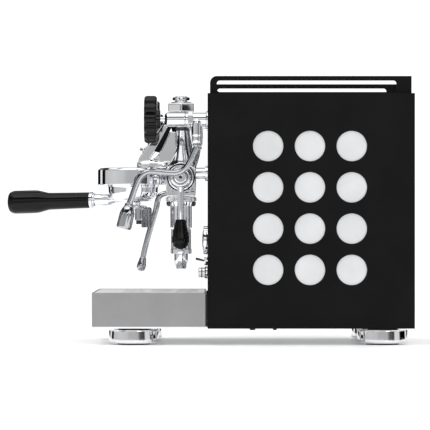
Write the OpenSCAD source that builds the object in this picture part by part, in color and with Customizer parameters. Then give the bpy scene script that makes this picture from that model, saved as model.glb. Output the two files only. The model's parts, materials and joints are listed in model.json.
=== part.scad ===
// Compact lever espresso machine: housing, boiler, brew group, valves, wands and drip tray.
// Millimetres. +Z up, the front faces -Y, the origin is on the table under the middle of the machine.

/* [Housing] */
// Width over the two side panels
body_w = 274; // [270:1:330]
// Depth of the housing from front to back
body_d = 273; // [262:1:330]
// Height of the side panels
body_h = 310; // [300:1:380]
// Height of the base plate above the table
base_z = 22; // [18:1:30]
// Thickness of the housing's sheet
sheet_t = 1.5; // [1:0.1:2]
// Thickness of the base plate
base_t = 2.4; // [2:0.1:3]
// Outer radius of the side panels' bent edges
bend_r = 5; // [4:0.5:7]
// Width of the side panels' front and back flanges
flange_w = 14; // [10:1:18]

/* [Side panel holes] */
// Diameter of the round holes
hole_d = 40; // [30:1:46]
// Distance between columns
hole_pitch_y = 55; // [48:1:60]
// Distance between rows
hole_pitch_z = 54.3; // [48:0.1:60]

/* [Cup rail] */
// Height of the rail above the deck
rail_h = 26.2; // [20:0.1:40]
// Thickness of the rail's sheet
rail_t = 2; // [1.5:0.1:3]
// Height of the rail's top bar
rail_bar = 6; // [4:0.5:8]
// Width of the rail's front legs
rail_leg = 9; // [6:1:14]

/* [Feet] */
// Diameter of a foot's chrome cup
foot_d = 68; // [50:1:76]
// Distance of the feet from the middle plane
foot_x = 98; // [80:1:100]

/* [Drip tray] */
// Width of the tray
tray_w = 260; // [240:1:268]
// How far the tray reaches in front of the housing
tray_reach = 152.5; // [145:0.5:175]
// Height of the tray
tray_h = 44.4; // [36:0.1:50]

/* [Water tank] */
// Width of the tank
tank_w = 76; // [60:1:80]
// Depth of the tank
tank_d = 108; // [80:1:114]
// Height of the tank
tank_h = 258; // [200:1:262]

/* [Boiler] */
// Outer radius of the boiler
boiler_r = 55; // [40:1:58]
// Length of the boiler's shell
boiler_l = 180; // [140:1:190]

/* [Brew group] */
// Distance of the group's column in front of the housing
group_y = 36.5; // [34:0.5:42]
// Height of the lever's pivot above the base plate's underside
pivot_h = 200.5; // [190:0.5:215]
// Distance of the brewing axis in front of the housing
brew_y = 101.5; // [99:0.5:108]
// Diameter of the bell over the portafilter
bell_d = 96; // [92:1:104]
// Diameter of the camshaft
shaft_d = 10; // [8:0.5:12]
// Diameter of the lever's rod
lever_d = 8.6; // [7:0.1:10]
// Length of the lever from the pivot to the grip's tip
lever_l = 97; // [88:1:110]

/* [Portafilter] */
// Diameter of the portafilter's bowl
bowl_d = 70; // [66:1:72]
// Length of the handle's grip
handle_l = 114; // [95:1:135]
// Angle of the handle from straight ahead
handle_turn = 10; // [0:1:20]

/* [Valves and wands] */
// Distance of the valves from the middle plane
valve_x = 95; // [88:1:100]
// Height of the valves above the base plate's underside
valve_h = 276.5; // [270:0.5:285]
// Diameter of a knob over its lobes
knob_d = 62.8; // [54:0.2:68]
// Diameter of the spindles
spindle_d = 7.3; // [6:0.1:9]
// Diameter of the wands' tube
wand_d = 8; // [7:0.1:9]

/* [Hidden] */
$fn = 64;

// Clearances
gap = 0.2;        // between sheets that lie or slide on each other
run = 0.05;       // radial, of a shaft in its bore
fit = 0.3;        // radial, of a piece through a sheet

// Housing
half_w = body_w / 2;
inner = half_w - sheet_t;
base_top = base_z + base_t;
panel_top = base_z + body_h;
deck_top = panel_top - 3.5;
deck_bottom = deck_top - sheet_t;
plate_w = 2 * (half_w - bend_r - 0.5);
corner = bend_r + 1;
hole_y = body_d / 2 - 1.8;
hole_z = base_z + body_h / 2 + 3.8;
liner_t = 0.8;
foot_front_y = -98;
foot_back_y = body_d - 41;
stud_d = 8;
pad_h = 2;
spacer_h = 2;

// Rail
rail_x = half_w - 7;
rail_y0 = 3.2;
rail_y1 = body_d - 4.3;
rail_z0 = deck_top + gap;
slot_z0 = deck_top + 5.1;
rail_back_leg = 20;
tab_w = 12;

// Tank
tank_x0 = -half_w + 25;
tank_x1 = tank_x0 + tank_w;
tank_y1 = body_d - 19;
tank_y0 = tank_y1 - tank_d;
tank_z1 = deck_bottom - 9;
tank_z0 = tank_z1 - tank_h;
tank_wall = 2.5;
tank_mx = (tank_x0 + tank_x1) / 2;
tank_my = (tank_y0 + tank_y1) / 2;
opening_m = 3;    // margin of the deck's opening round the tank
lid_m = 8;        // margin of the lid round the tank
hose_d = 8;
hose_z = base_z + 10;

// Boiler
boiler_left = -15;   // its side towards the tank, as far from the group's axis in any body
boiler_x = boiler_left + boiler_r;
boiler_y0 = 26;
boiler_y1 = boiler_y0 + boiler_l;
boiler_z = base_z + 213;
cradle_y = [boiler_y0 + 34, boiler_y1 - 36];
pump_y1 = 158;      // end of the pump's inlet nipple

// Group
pivot_y = -group_y;
pivot_z = base_z + pivot_h;
bell_z0 = pivot_z - 10;
bell_z1 = pivot_z + 14.5;
upper_pipe_z = pivot_z + 75.5;
lower_pipe_z = pivot_z + 5.5;
pipe_d = 16.4;
block_r = 19.5;
block_z0 = pivot_z - 26.5;
screw_y = 16.5;
screw_head_d = 7.4;
lever_x = 56;
cavity_r = bowl_d / 2 + 7.5;
lip_r = bowl_d / 2 + 1.3;
ear_w = 14;
rim_z = bell_z0 + 10.7;
gasket_z1 = bell_z1 - 5;
bowl_z0 = bell_z0 - 22.5;
handle_z = bell_z0 - 19;
handle_drop = 1.5;
ferrule_r0 = bowl_d / 2 + 18;
grip_r0 = ferrule_r0 + 7;
spout_x = 15;
spout_y = 14;
spout_d = 17;
spout_angle = atan2(spout_y, spout_x);

// Valves
valve_z = base_z + valve_h;
swivel_y = -14.6;
swivel_off = 4;
knob_y = -84.2;
knob_t = 17;
lobes = 12;

// Wand routes from the swivel's axis, as [y, z] below the valve's axis
water_route = [[-14.6, -24], [-14.6, -33], [-14.6, -36], [-18.5, -44.5], [-24.3, -57.4], [-32, -66.8], [-41.6, -71],
  [-57, -70.7], [-74.8, -69.2], [-84.2, -72.1], [-91.4, -79.8], [-96.7, -91.8], [-101.4, -105.6],
  [-103.25, -110], [-104, -113]];
steam_route = [[-14.6, -24], [-14.6, -33], [-14.6, -36], [-17, -48], [-23.5, -67], [-33, -83], [-45, -93.5],
  [-59.1, -96.6], [-66.4, -99.7], [-70.2, -106.5], [-72.7, -118.9], [-78.9, -139.9], [-83.8, -157.2],
  [-88.8, -177.1], [-90.8, -187.2]];

// Front panel fittings
fitting_x = 72;
gauge_z = base_z + 116;
gauge_d = 38;
toggle_z = base_z + 88;
lamp_z = base_z + 73;

// ---- Helpers ----
module along_x(d, x0, x1, y = 0, z = 0) translate([x0, y, z]) rotate([0, 90, 0])
  cylinder(d = d, h = x1 - x0);
module along_y(d, y0, y1, x = 0, z = 0) translate([x, y1, z]) rotate([90, 0, 0])
  cylinder(d = d, h = y1 - y0);
module along_z(d, z0, z1, x = 0, y = 0) translate([x, y, z0]) cylinder(d = d, h = z1 - z0);
module box(x, y, z) translate([x[0], y[0], z[0]]) cube([x[1] - x[0], y[1] - y[0], z[1] - z[0]]);

// Plate with square corners notched by c, centred on x = 0
module notched_plate(w_mid, w_end, y, z, c) {
  box([-w_mid / 2, w_mid / 2], [y[0] + c, y[1] - c], z);
  box([-w_end / 2, w_end / 2], y, z);
}

// Rectangle with rounded corners
module rounded_rect(w, h, r) {
  translate([r, 0]) square([w - 2 * r, h]);
  translate([0, r]) square([w, h - 2 * r]);
  for (x = [r, w - r], y = [r, h - r]) translate([x, y]) circle(r = r);
}

// Smooth curve through points: n steps along each stretch, after Catmull and Rom
function curve(p, n) = [for (i = [0 : len(p) - 2], k = [0 : n - 1])
  let (a = p[max(i - 1, 0)], b = p[i], c = p[i + 1], e = p[min(i + 2, len(p) - 1)], t = k / n)
  0.5 * (2 * b + (c - a) * t + (2 * a - 5 * b + 4 * c - e) * t * t + (3 * b - a - 3 * c + e) * t * t * t),
  p[len(p) - 1]];
function unit(v) = v / norm(v);

// Round tube of diameter d along points: a ring of sides at each point, square to the path.
// side is any direction that the path never runs along.
module tube(points, d, side = [1, 0, 0], sides = 14, n = 3) {
  path = curve(points, n);
  last_i = len(path) - 1;
  rings = [for (i = [0 : last_i])
    let (t = unit(path[min(i + 1, last_i)] - path[max(i - 1, 0)]), u = unit(cross(t, side)), v = cross(t, u))
    for (k = [0 : sides - 1]) path[i] + d / 2 * (u * cos(k * 360 / sides) + v * sin(k * 360 / sides))];
  polyhedron(points = rings, faces = concat(
    [[for (k = [0 : sides - 1]) k]],
    [for (i = [0 : last_i - 1], k = [0 : sides - 1]) let (a = i * sides, b = (k + 1) % sides)
      [a + k, a + sides + k, a + sides + b, a + b]],
    [[for (k = [sides - 1 : -1 : 0]) last_i * sides + k]]), convexity = 6);
}

// Turns a solid of revolution about z so that its axis runs from a point along a direction
module aim(point, direction) {
  l = norm(direction);
  translate(point) rotate([0, acos(direction[2] / l), atan2(direction[1], direction[0])]) children();
}

// ---- Housing ----
module base_frame() color("silver") difference() {
  union() {
    box([-tray_w / 2, tray_w / 2], [-tray_reach, -0.3], [base_z, base_top]);
    box([-plate_w / 2 + 8.5, plate_w / 2 - 8.5], [-0.3, 1.8], [base_z, base_top]);
    notched_plate(2 * inner - 1, plate_w, [1.8, body_d - 1.8], [base_z, base_top], corner - 1.8);
    for (s = [-1, 1]) box([s * (inner - 2.25) - 0.75, s * (inner - 2.25) + 0.75],
      [8, body_d - 8], [base_top, base_top + 30]);
    box([-plate_w / 2 + 12, plate_w / 2 - 12], [3.2, 4.7], [base_top, base_top + 18]);
    box([-plate_w / 2 + 12, plate_w / 2 - 12], [body_d - 4.7, body_d - 3.2], [base_top, base_top + 18]);
  }
  for (s = [-1, 1], y = [foot_front_y, foot_back_y])
    along_z(stud_d + 2 * run, base_z - 1, base_top + 1, s * foot_x, y);
}

// Rubber plugs in the base plate's underside
module base_plugs() color("dimgray") {
  along_z(7.6, base_z - 3, base_z, foot_x, 59.5);
  along_z(5, base_z - 3, base_z, foot_x, 89);
}

module fitting_holes() {
  for (s = [-1, 1]) along_y(18 + 2 * fit, 0, 6, s * valve_x, valve_z);
  for (z = [upper_pipe_z, lower_pipe_z]) along_y(pipe_d + 2 * fit, 0, 6, 0, z);
  along_y(gauge_d - 4 + 2 * fit, 0, 6, fitting_x, gauge_z);
  along_y(11 + 2 * fit, 0, 6, fitting_x, toggle_z);
  along_y(8 + 2 * fit, 0, 6, fitting_x, lamp_z);
}

module front_panel() color("lightgray") difference() {
  box([-plate_w / 2, plate_w / 2], [sheet_t, 2 * sheet_t], [base_top + gap, deck_bottom - gap]);
  fitting_holes();
}

module back_panel() color("lightgray") difference() {
  box([-plate_w / 2, plate_w / 2], [body_d - 2 * sheet_t, body_d - sheet_t],
    [base_top + gap, deck_bottom - gap]);
  for (row = [0 : 7], s = [-1, 1])
    box([s * 62 - 38, s * 62 + 38], [body_d - 5, body_d], [panel_top - 60 - row * 10, panel_top - 56 - row * 10]);
  box([66, 94], [body_d - 5, body_d], [base_z + 28, base_z + 48]);
}

// Outline of a side panel seen from above, for the side at +x
module panel_outline() {
  translate([half_w - sheet_t, bend_r]) square([sheet_t, body_d - 2 * bend_r]);
  for (m = [0, 1]) translate([0, m * body_d]) mirror([0, m]) {
    translate([half_w - flange_w, 0]) square([flange_w - bend_r, sheet_t]);
    translate([half_w - bend_r, bend_r]) difference() {
      circle(r = bend_r);
      circle(r = bend_r - sheet_t);
      translate([-2 * bend_r, -bend_r]) square([2 * bend_r, 2 * bend_r]);
      translate([-1, 0]) square([2 * bend_r, 2 * bend_r]);
    }
  }
}

module side_panel() difference() {
  translate([0, 0, base_z]) linear_extrude(body_h) panel_outline();
  for (c = [-1 : 1], r = [-1.5 : 1.5])
    along_x(hole_d, inner - 1, half_w + 1, hole_y + c * hole_pitch_y, hole_z + r * hole_pitch_z);
}
module side_panel_right() color("#1c1c1d") side_panel();
module side_panel_left() color("#1c1c1d") mirror([1, 0, 0]) side_panel();

module side_liner() box([inner - liner_t, inner],
  [hole_y - 1.5 * hole_pitch_y - 6, hole_y + 1.5 * hole_pitch_y + 6],
  [hole_z - 2 * hole_pitch_z - 3, hole_z + 2 * hole_pitch_z + 3]);
module side_liner_right() color("gainsboro") side_liner();
module side_liner_left() color("gainsboro") mirror([1, 0, 0]) side_liner();

module rail_tabs(grow, z0, z1) {
  for (s = [-1, 1], y = [30, body_d - 43])
    box([s * (rail_x - rail_t / 2) - rail_t / 2 - grow, s * (rail_x - rail_t / 2) + rail_t / 2 + grow],
      [y - tab_w / 2 - grow, y + tab_w / 2 + grow], [z0, z1]);
  for (s = [-1, 1]) box([s * 60 - tab_w / 2 - grow, s * 60 + tab_w / 2 + grow],
    [rail_y1 - rail_t - grow, rail_y1 + grow], [z0, z1]);
}

module top_deck() color("silver") difference() {
  notched_plate(2 * inner - 0.6, plate_w, [1.8, body_d - 1.8], [deck_bottom, deck_top], corner - 1.8);
  box([tank_x0 - opening_m, tank_x1 + opening_m], [tank_y0 - opening_m, tank_y1 + opening_m],
    [deck_bottom - 1, deck_top + 1]);
  rail_tabs(fit, deck_bottom - 1, deck_top + 1);
  for (i = [-3 : 3], j = [0, 1]) box([i * 32 - 2, i * 32 + 2], [22 + j * 52, 62 + j * 52],
    [deck_bottom - 1, deck_top + 1]);
  for (i = [0 : 3], j = [0, 1])
    box([16 + i * 26 - 2, 16 + i * 26 + 2], [tank_y0 + j * 52, tank_y0 + 40 + j * 52],
      [deck_bottom - 1, deck_top + 1]);
}

// Side sheet of the rail in its own plane, front end at x = 0
module rail_side_outline() {
  l = rail_y1 - rail_y0;
  h = rail_h - gap;
  r = 9;
  difference() {
    union() {
      translate([r, 0]) square([l - r, h]);
      square([r, h - r]);
      translate([r, h - r]) circle(r = r);
    }
    translate([rail_leg, slot_z0 - rail_z0])
      rounded_rect(l - rail_leg - rail_back_leg, rail_z0 + h - rail_bar - slot_z0, 4);
  }
}

module cup_rail() color("#1c1c1d") {
  for (s = [-1, 1]) translate([s * (rail_x - rail_t / 2) - rail_t / 2, rail_y0, rail_z0])
    rotate([90, 0, 90]) linear_extrude(rail_t) rail_side_outline();
  translate([-rail_x, rail_y1, rail_z0]) rotate([90, 0, 0]) linear_extrude(rail_t) difference() {
    square([2 * rail_x, rail_h - gap]);
    translate([rail_back_leg, slot_z0 - rail_z0])
      rounded_rect(2 * rail_x - 2 * rail_back_leg, deck_top + rail_h - rail_bar - slot_z0, 4);
  }
  rail_tabs(0, deck_bottom - 2, rail_z0 + 1);
}

module tank_lid() color("silver") difference() {
  union() {
    box([tank_x0 - lid_m, tank_x1 + lid_m], [tank_y0 - lid_m, tank_y1 + lid_m],
      [deck_top + gap, deck_top + gap + 1.5]);
    difference() {
      box([tank_x0 - opening_m + 0.5, tank_x1 + opening_m - 0.5],
        [tank_y0 - opening_m + 0.5, tank_y1 + opening_m - 0.5], [deck_bottom - 1.5, deck_top + 1]);
      box([tank_x0 - opening_m + 2, tank_x1 + opening_m - 2],
        [tank_y0 - opening_m + 2, tank_y1 + opening_m - 2], [deck_bottom - 2, deck_top + gap]);
    }
  }
  along_z(22, deck_bottom - 3, deck_top + 5, tank_mx, tank_my);
}

module water_tank() color("#d8e4ea", 0.5) {
  difference() {
    translate([tank_x0, tank_y0, tank_z0]) linear_extrude(tank_h) rounded_rect(tank_w, tank_d, 10);
    translate([tank_x0 + tank_wall, tank_y0 + tank_wall, tank_z0 + 3]) linear_extrude(tank_h)
      rounded_rect(tank_w - 2 * tank_wall, tank_d - 2 * tank_wall, 8);
    along_z(6, tank_z0 - 1, tank_z0 + 5, tank_mx, tank_my);
  }
  difference() {
    along_z(16, tank_z0 - 8, tank_z0 + 0.5, tank_mx, tank_my);
    along_z(6, tank_z0 - 9, tank_z0 + 1, tank_mx, tank_my);
  }
}

module tank_shelf() color("gray") difference() {
  union() {
    box([tank_x0 - 4, tank_x1 + 4], [tank_y0 - 4, tank_y1 + 4], [tank_z0 - gap - 2, tank_z0 - gap]);
    for (x = [tank_x0 - 4, tank_x1 + 2.5])
      box([x, x + 1.5], [tank_y0 - 4, tank_y1 + 4], [base_top, tank_z0 - gap - 1]);
  }
  along_z(16 + 2 * fit, tank_z0 - 5, tank_z0 + 1, tank_mx, tank_my);
  box([tank_x1, tank_x1 + 5], [tank_my - hose_d, tank_my + hose_d], [base_top, hose_z + hose_d]);
}

// ---- Boiler and water path ----
module boiler() color("#b87333") difference() {
  along_y(2 * boiler_r, boiler_y0, boiler_y1, boiler_x, boiler_z);
  along_y(2 * boiler_r - 4, boiler_y0 + 3, boiler_y1 + 1, boiler_x, boiler_z);
}

module boiler_flange() color("#b5a642") {
  along_y(2 * boiler_r + 14, boiler_y1, boiler_y1 + 8, boiler_x, boiler_z);
  for (a = [0 : 45 : 315]) rotate_about_boiler(a)
    translate([boiler_r + 3, 0, 0]) rotate([-90, 0, 0]) cylinder(d = 9, h = 5, $fn = 6);
  for (s = [-1, 1]) along_y(8, boiler_y0 + 30, boiler_y1 + 22, boiler_x + s * 18, boiler_z - 22);
}
module rotate_about_boiler(a) translate([boiler_x, boiler_y1 + 8, boiler_z]) rotate([0, a, 0]) children();

// Two sheet legs with a round seat under the boiler
module boiler_cradle() color("gray") for (y = cradle_y) difference() {
  box([boiler_x - 45, boiler_x + 45], [y, y + 2], [base_top, boiler_z - boiler_r * 0.7]);
  along_y(2 * boiler_r + 2 * gap, y - 1, y + 3, boiler_x, boiler_z);
}

module safety_valve() color("#b5a642") translate([boiler_x, boiler_y0 + 120, boiler_z + boiler_r - 1.5]) {
  cylinder(d = 14, h = 14, $fn = 6);
  translate([0, 0, 14]) cylinder(d = 10, h = 12);
}

module pump() color("#303030") {
  px = half_w - 32;
  pz = base_z + 46;
  along_y(42, 84, 138, px, pz);
  along_y(16, 62, 84, px, pz);
  along_y(12, pump_y1 - 20, pump_y1, px, pz);
  for (y = [90, 126]) box([px - 14, px + 14], [y, y + 6], [base_top, pz - 10]);
}

module control_box() color("#404448") {
  box([boiler_x - 35, boiler_x + 30], [cradle_y[0] + 8, cradle_y[1] - 8], [base_top, base_z + 78]);
}

// Feed pipe from the pump, and a steam pipe to each valve
module copper_pipes() color("#b87333") {
  px = half_w - 32;
  tube([[px, 62, base_z + 46], [px, 50, base_z + 48], [px - 2, 44, base_z + 60], [px - 6, 44, base_z + 110],
    [boiler_x + 22, 44, boiler_z - boiler_r + 5]], 6);
  tube([[valve_x, 8, valve_z], [valve_x, 18, valve_z], [valve_x - 6, 32, valve_z - 4],
    [boiler_x + 34, 40, boiler_z + boiler_r - 14]], 6, [0, 0, 1]);
  tube([[-valve_x, 8, valve_z], [-valve_x + 2, 16, valve_z], [-valve_x + 14, 22, valve_z],
    [-32, 22, valve_z - 2], [-18, 32, valve_z - 12], [boiler_x - 38, 42, boiler_z + boiler_r - 18]], 6,
    [0, 0, 1]);
}

module suction_hose() color("#e4e4e0", 0.7) {
  px = half_w - 32;
  tube([[px, pump_y1, base_z + 46], [px, pump_y1 + (tank_my + 6 - pump_y1) / 4, base_z + 44],
    [px - 14, tank_my + 6, base_z + 30],
    [tank_x1 + 40, tank_my + 6, hose_z], [tank_x1 + 8, tank_my, hose_z], [tank_mx + 14, tank_my, hose_z],
    [tank_mx + 2, tank_my, hose_z + 6], [tank_mx, tank_my, tank_z0 - 12], [tank_mx, tank_my, tank_z0 - 9]],
    hose_d, [0, 1, 0]);
}

module thermosyphon_pipes() color("lightgray") {
  along_y(pipe_d, pivot_y + block_r, boiler_y0, 0, lower_pipe_z);
  along_y(pipe_d + 5, -4, sheet_t, 0, lower_pipe_z);
  along_y(pipe_d, pivot_y + 18, 40, 0, upper_pipe_z);
  tube([[0, 39.9, upper_pipe_z], [2, 48, upper_pipe_z - 2], [boiler_x - 27, 54, boiler_z + boiler_r - 6]],
    pipe_d - 0.6, [0, 0, 1]);
  along_y(pipe_d + 5, -4, sheet_t, 0, upper_pipe_z);
}

module mains_inlet() color("#202020") difference() {
  union() {
    box([66 + fit, 94 - fit], [body_d - 26, body_d], [base_z + 28 + fit, base_z + 48 - fit]);
    box([58, 102], [body_d - sheet_t, body_d], [base_z + 24, base_z + 52]);
  }
  box([68.5, 91.5], [body_d - 18, body_d + 1], [base_z + 30.5, base_z + 45.5]);
}

// ---- Brew group ----
module group_body() color("#d0d4d8") difference() {
  union() {
    translate([0, pivot_y, pivot_z]) rotate_extrude() polygon([[0, -3], [21.5, -3], [21.5, 17.5],
      [19, 33], [16, 52], [14, 66], [15.5, 74], [17.5, 80], [17.5, 88.5], [0, 88.5]]);
    along_y(24, pivot_y, pivot_y + 19, 0, upper_pipe_z);
    group_arm();
    box([-17, 17], [-brew_y + 5.5, pivot_y - 12], [bell_z1, bell_z1 + 11]);
    box([-19, 19], [pivot_y - block_r - 1, pivot_y + block_r + 1], [block_z0, pivot_z + 16]);
    along_x(2 * block_r, -24, 30, pivot_y, pivot_z);
    along_x(28, 30, 37, pivot_y, pivot_z);
  }
  along_x(shaft_d + 2 * run, -10, 40, pivot_y, pivot_z);
  for (dy = [-screw_y, screw_y]) along_z(4 + 2 * run, block_z0 - 1, block_z0 + 10, 0, pivot_y + dy);
}

// Sloping arm from the column's head down to the bell, with a thinner web behind it
module group_arm() {
  top_y = pivot_y - 13;
  low_y = -brew_y + 7.4;
  low_z = bell_z1 + 5.5;
  translate([-13, 0, 0]) rotate([90, 0, 90]) linear_extrude(26)
    polygon([[top_y, pivot_z + 79], [top_y - 6, pivot_z + 79], [top_y - 12.6, pivot_z + 72],
      [low_y, low_z + 5.6], [low_y, low_z - 2], [low_y + 16, low_z - 2], [low_y + 16, low_z + 4.7],
      [low_y + 23.3, low_z + 15.4], [top_y - 2.9, pivot_z + 69.2], [top_y, pivot_z + 72]]);
  translate([-9, 0, 0]) rotate([90, 0, 90]) linear_extrude(18)
    polygon([[pivot_y, pivot_z + 79], [top_y - 4, pivot_z + 72], [low_y + 22, low_z + 14],
      [low_y + 12, low_z - 2], [pivot_y, low_z - 2]]);
}

module group_cap() color("#d0d4d8") translate([0, pivot_y, pivot_z + 88.5]) {
  cylinder(d = 40.4, h = 13, $fn = 6);
  translate([0, 0, 13]) cylinder(d1 = 24, d2 = 17, h = 3);
  translate([0, 0, 16]) cylinder(d = 25, h = 6);
}

module group_bell() color("#d0d4d8") translate([0, -brew_y, 0]) difference() {
  rotate_extrude() difference() {
    polygon([[0, bell_z0], [bell_d / 2 - 1, bell_z0], [bell_d / 2, bell_z0 + 1], [bell_d / 2, bell_z1 - 1.5],
      [bell_d / 2 - 1.5, bell_z1], [0, bell_z1]]);
    polygon([[0, bell_z0 - 1], [lip_r, bell_z0 - 1], [lip_r, bell_z0 + 4], [cavity_r, bell_z0 + 4],
      [cavity_r, rim_z + 1.3], [bowl_d / 2 + 2, rim_z + 1.3], [bowl_d / 2 + 2, gasket_z1], [0, gasket_z1]]);
  }
  // Entry slots for the portafilter's ears, at the unlocked angle
  rotate([0, 0, -55]) for (s = [0, 180]) rotate([0, 0, s])
    box([0, cavity_r], [-ear_w / 2 - 1.5, ear_w / 2 + 1.5], [bell_z0 - 1, bell_z0 + 5]);
}

module group_gasket() color("#303030") translate([0, -brew_y, rim_z + fit]) difference() {
  cylinder(d = bowl_d + 3, h = gasket_z1 - rim_z - fit);
  translate([0, 0, -1]) cylinder(d = bowl_d - 13, h = 20);
}

module shower_screen() color("silver") translate([0, -brew_y, 0]) {
  along_z(bowl_d - 14, rim_z + fit, rim_z + fit + 2.5);
  along_z(8, rim_z + fit + 2, gasket_z1);
}

module group_plug() color("#c8ccd0")
  aim([0, -brew_y + 15.2, bell_z1 + 23.2], [0, -0.86, 0.5]) cylinder(d = 9, h = 6, $fn = 6);

module infusion_chamber() color("#d0d4d8") translate([0, pivot_y, block_z0]) difference() {
  union() {
    translate([-12, -21, -6]) cube([24, 42, 6]);
    rotate_extrude() polygon([[0, -6], [17, -6], [15.5, -10], [14.8, -43], [13.8, -44], [13.8, -70],
      [14.2, -71], [14.2, -77], [0, -77]]);
  }
  for (dy = [-screw_y, screw_y]) {
    along_z(4 + 2 * run, -10, 1, 0, dy);
    along_z(screw_head_d + 0.6, -16, -6, 0, dy);
  }
}

module drain_nozzle() color("#c8ccd0") translate([0, pivot_y, block_z0 - 97]) difference() {
  rotate_extrude() polygon([[0, 0], [7, 0], [9.1, 12], [9.1, 20], [0, 20]]);
  translate([0, 0, -1]) cylinder(d = 7, h = 15);
}

module group_screws() color("#404040") for (dy = [-screw_y, screw_y])
  translate([0, pivot_y + dy, block_z0]) {
    along_z(4, -7, 8);
    difference() {
      translate([0, 0, -9]) sphere(d = screw_head_d);
      along_z(12, -6, 4);
    }
  }

// Camshaft, hub and rod turn together about the x axis through the pivot
module brew_lever() color("#d0d4d8") {
  along_x(shaft_d, -8, lever_x, pivot_y, pivot_z);
  along_x(27.4, lever_x - 7, lever_x + 7, pivot_y, pivot_z);
  along_x(17.2, lever_x + 7, lever_x + 10, pivot_y, pivot_z);
  along_z(lever_d, pivot_z - lever_l + 26, pivot_z - 8, lever_x, pivot_y);
}

module lever_grip() color("#141414") translate([lever_x, pivot_y, pivot_z - lever_l]) difference() {
  rotate_extrude() union() {
    intersection() { translate([0, 12]) circle(r = 12); square(24); }
    polygon([[0, 12], [12, 12], [11.2, 18], [7.2, 38], [6.2, 40.4], [0, 40.4]]);
  }
  along_z(lever_d + 2 * run, 26 - run, 50);
}

// ---- Portafilter, drawn with its handle straight ahead and then turned ----
module at_brew_axis() translate([0, -brew_y, 0]) rotate([0, 0, -handle_turn]) children();
module along_handle(r) translate([0, 0, handle_z]) rotate([90 + handle_drop, 0, 0]) translate([0, 0, r])
  children();

module portafilter_body() color("#d0d4d8") at_brew_axis() {
  difference() {
    union() {
      rotate_extrude() polygon([[0, bowl_z0 - 6], [9, bowl_z0 - 6], [10, bowl_z0], [bowl_d / 2 - 9, bowl_z0],
        [bowl_d / 2 - 2, bowl_z0 + 7], [bowl_d / 2, bowl_z0 + 12], [bowl_d / 2, rim_z], [0, rim_z]]);
      for (s = [0, 180]) rotate([0, 0, s])
        box([bowl_d / 2 - 3, cavity_r - 0.7], [-ear_w / 2, ear_w / 2], [bell_z0 + 4.5, rim_z - 0.3]);
      difference() {
        along_handle(bowl_d / 2 - 6) cylinder(d = 16, h = 24);
        along_z(bowl_d - 7, bowl_z0 + 6, rim_z);
      }
    }
    along_z(bowl_d - 8, bowl_z0 + 6.5, rim_z + 1);
    along_z(bowl_d - 3.4, rim_z - 1.5, rim_z + 1);
    along_z(12 + 2 * run, bowl_z0 - 7, bowl_z0 + 3);
    along_z(5, bowl_z0, bowl_z0 + 8);
  }
}

module filter_basket() color("silver") at_brew_axis() difference() {
  union() {
    along_z(bowl_d - 12, bowl_z0 + 8, rim_z - 0.5);
    along_z(bowl_d - 4, rim_z - 1.3, rim_z);
  }
  along_z(bowl_d - 13.6, bowl_z0 + 9, rim_z + 1);
}

module handle_ferrule() color("#d0d4d8") at_brew_axis() along_handle(ferrule_r0)
  cylinder(d1 = 18, d2 = 22.4, h = grip_r0 - ferrule_r0);

module portafilter_handle() color("#141414") at_brew_axis() along_handle(grip_r0) rotate_extrude() union() {
  polygon([[0, 0], [10.2, 0], [10.8, 0.8], [11.6, handle_l - 57], [13.4, handle_l - 50], [15.3, handle_l - 43],
    [15.8, handle_l - 38], [15.8, handle_l - 8], [0, handle_l - 8]]);
  intersection() {
    translate([7.8, handle_l - 8]) circle(r = 8);
    translate([0, handle_l - 9]) square([20, 20]);
  }
  translate([0, handle_l - 9]) square([7.9, 9]);
}

module double_spout() color("#d0d4d8") at_brew_axis() {
  along_z(12, bowl_z0 - 16, bowl_z0 + 2.5);
  for (s = [-1, 1]) difference() {
    union() {
      translate([0, 0, bowl_z0 - 12]) rotate([0, 0, s > 0 ? spout_angle : 180 - spout_angle]) rotate([0, 94, 0])
        cylinder(d = 11, h = norm([spout_x, spout_y]));
      along_z(spout_d, bowl_z0 - 35, bowl_z0 - 13, s * spout_x, spout_y);
      translate([s * spout_x, spout_y, bowl_z0 - 13]) cylinder(d1 = spout_d, d2 = 9, h = 3.6);
    }
    along_z(spout_d - 3.5, bowl_z0 - 36, bowl_z0 - 21, s * spout_x, spout_y);
  }
}

// ---- Valves, knobs and wands ----
module valve(s) color("#d0d4d8") difference() {
  union() {
    along_y(18, -28, 8, s * valve_x, valve_z);
    along_y(19.4, -53, -27, s * valve_x, valve_z);
    translate([s * valve_x, -53, valve_z]) rotate([90, 0, 0]) cylinder(d1 = 19.4, d2 = 14, h = 4);
    along_z(13.3, valve_z - 32, valve_z - 4, s * (valve_x + swivel_off), swivel_y);
    translate([s * (valve_x + swivel_off), swivel_y, valve_z - 4]) sphere(d = 13.3);
  }
  along_y(spindle_d + 2 * run, -58, -30, s * valve_x, valve_z);
  along_z(wand_d + 2 * run, valve_z - 33, valve_z - 23, s * (valve_x + swivel_off), swivel_y);
}
module steam_valve() valve(-1);
module water_valve() valve(1);

module spindle(s) color("#c8ccd0") along_y(spindle_d, knob_y + 5, -31, s * valve_x, valve_z);
module steam_spindle() spindle(-1);
module water_spindle() spindle(1);

// Knob with round lobes at its rim and a hub towards the valve
module knob(s) color("#141414") translate([s * valve_x, knob_y, valve_z]) rotate([-90, 0, 0]) difference() {
  union() {
    cylinder(d = knob_d - 6, h = knob_t);
    for (i = [0 : lobes - 1]) rotate([0, 0, i * 360 / lobes]) translate([knob_d / 2 - 5.2, 0, 0])
      cylinder(r = 5.2, h = knob_t);
    cylinder(d = 26, h = knob_t + 4.6);
  }
  translate([0, 0, 4.9]) cylinder(d = spindle_d + 2 * run, h = knob_t);
}
module steam_knob() knob(-1);
module water_knob() knob(1);

function placed(route, s) = [for (p = route) [s * (valve_x + swivel_off), p[0], valve_z + p[1]]];
function last(list) = list[len(list) - 1];
function run_out(list) = last(list) - list[len(list) - 2];

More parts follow.
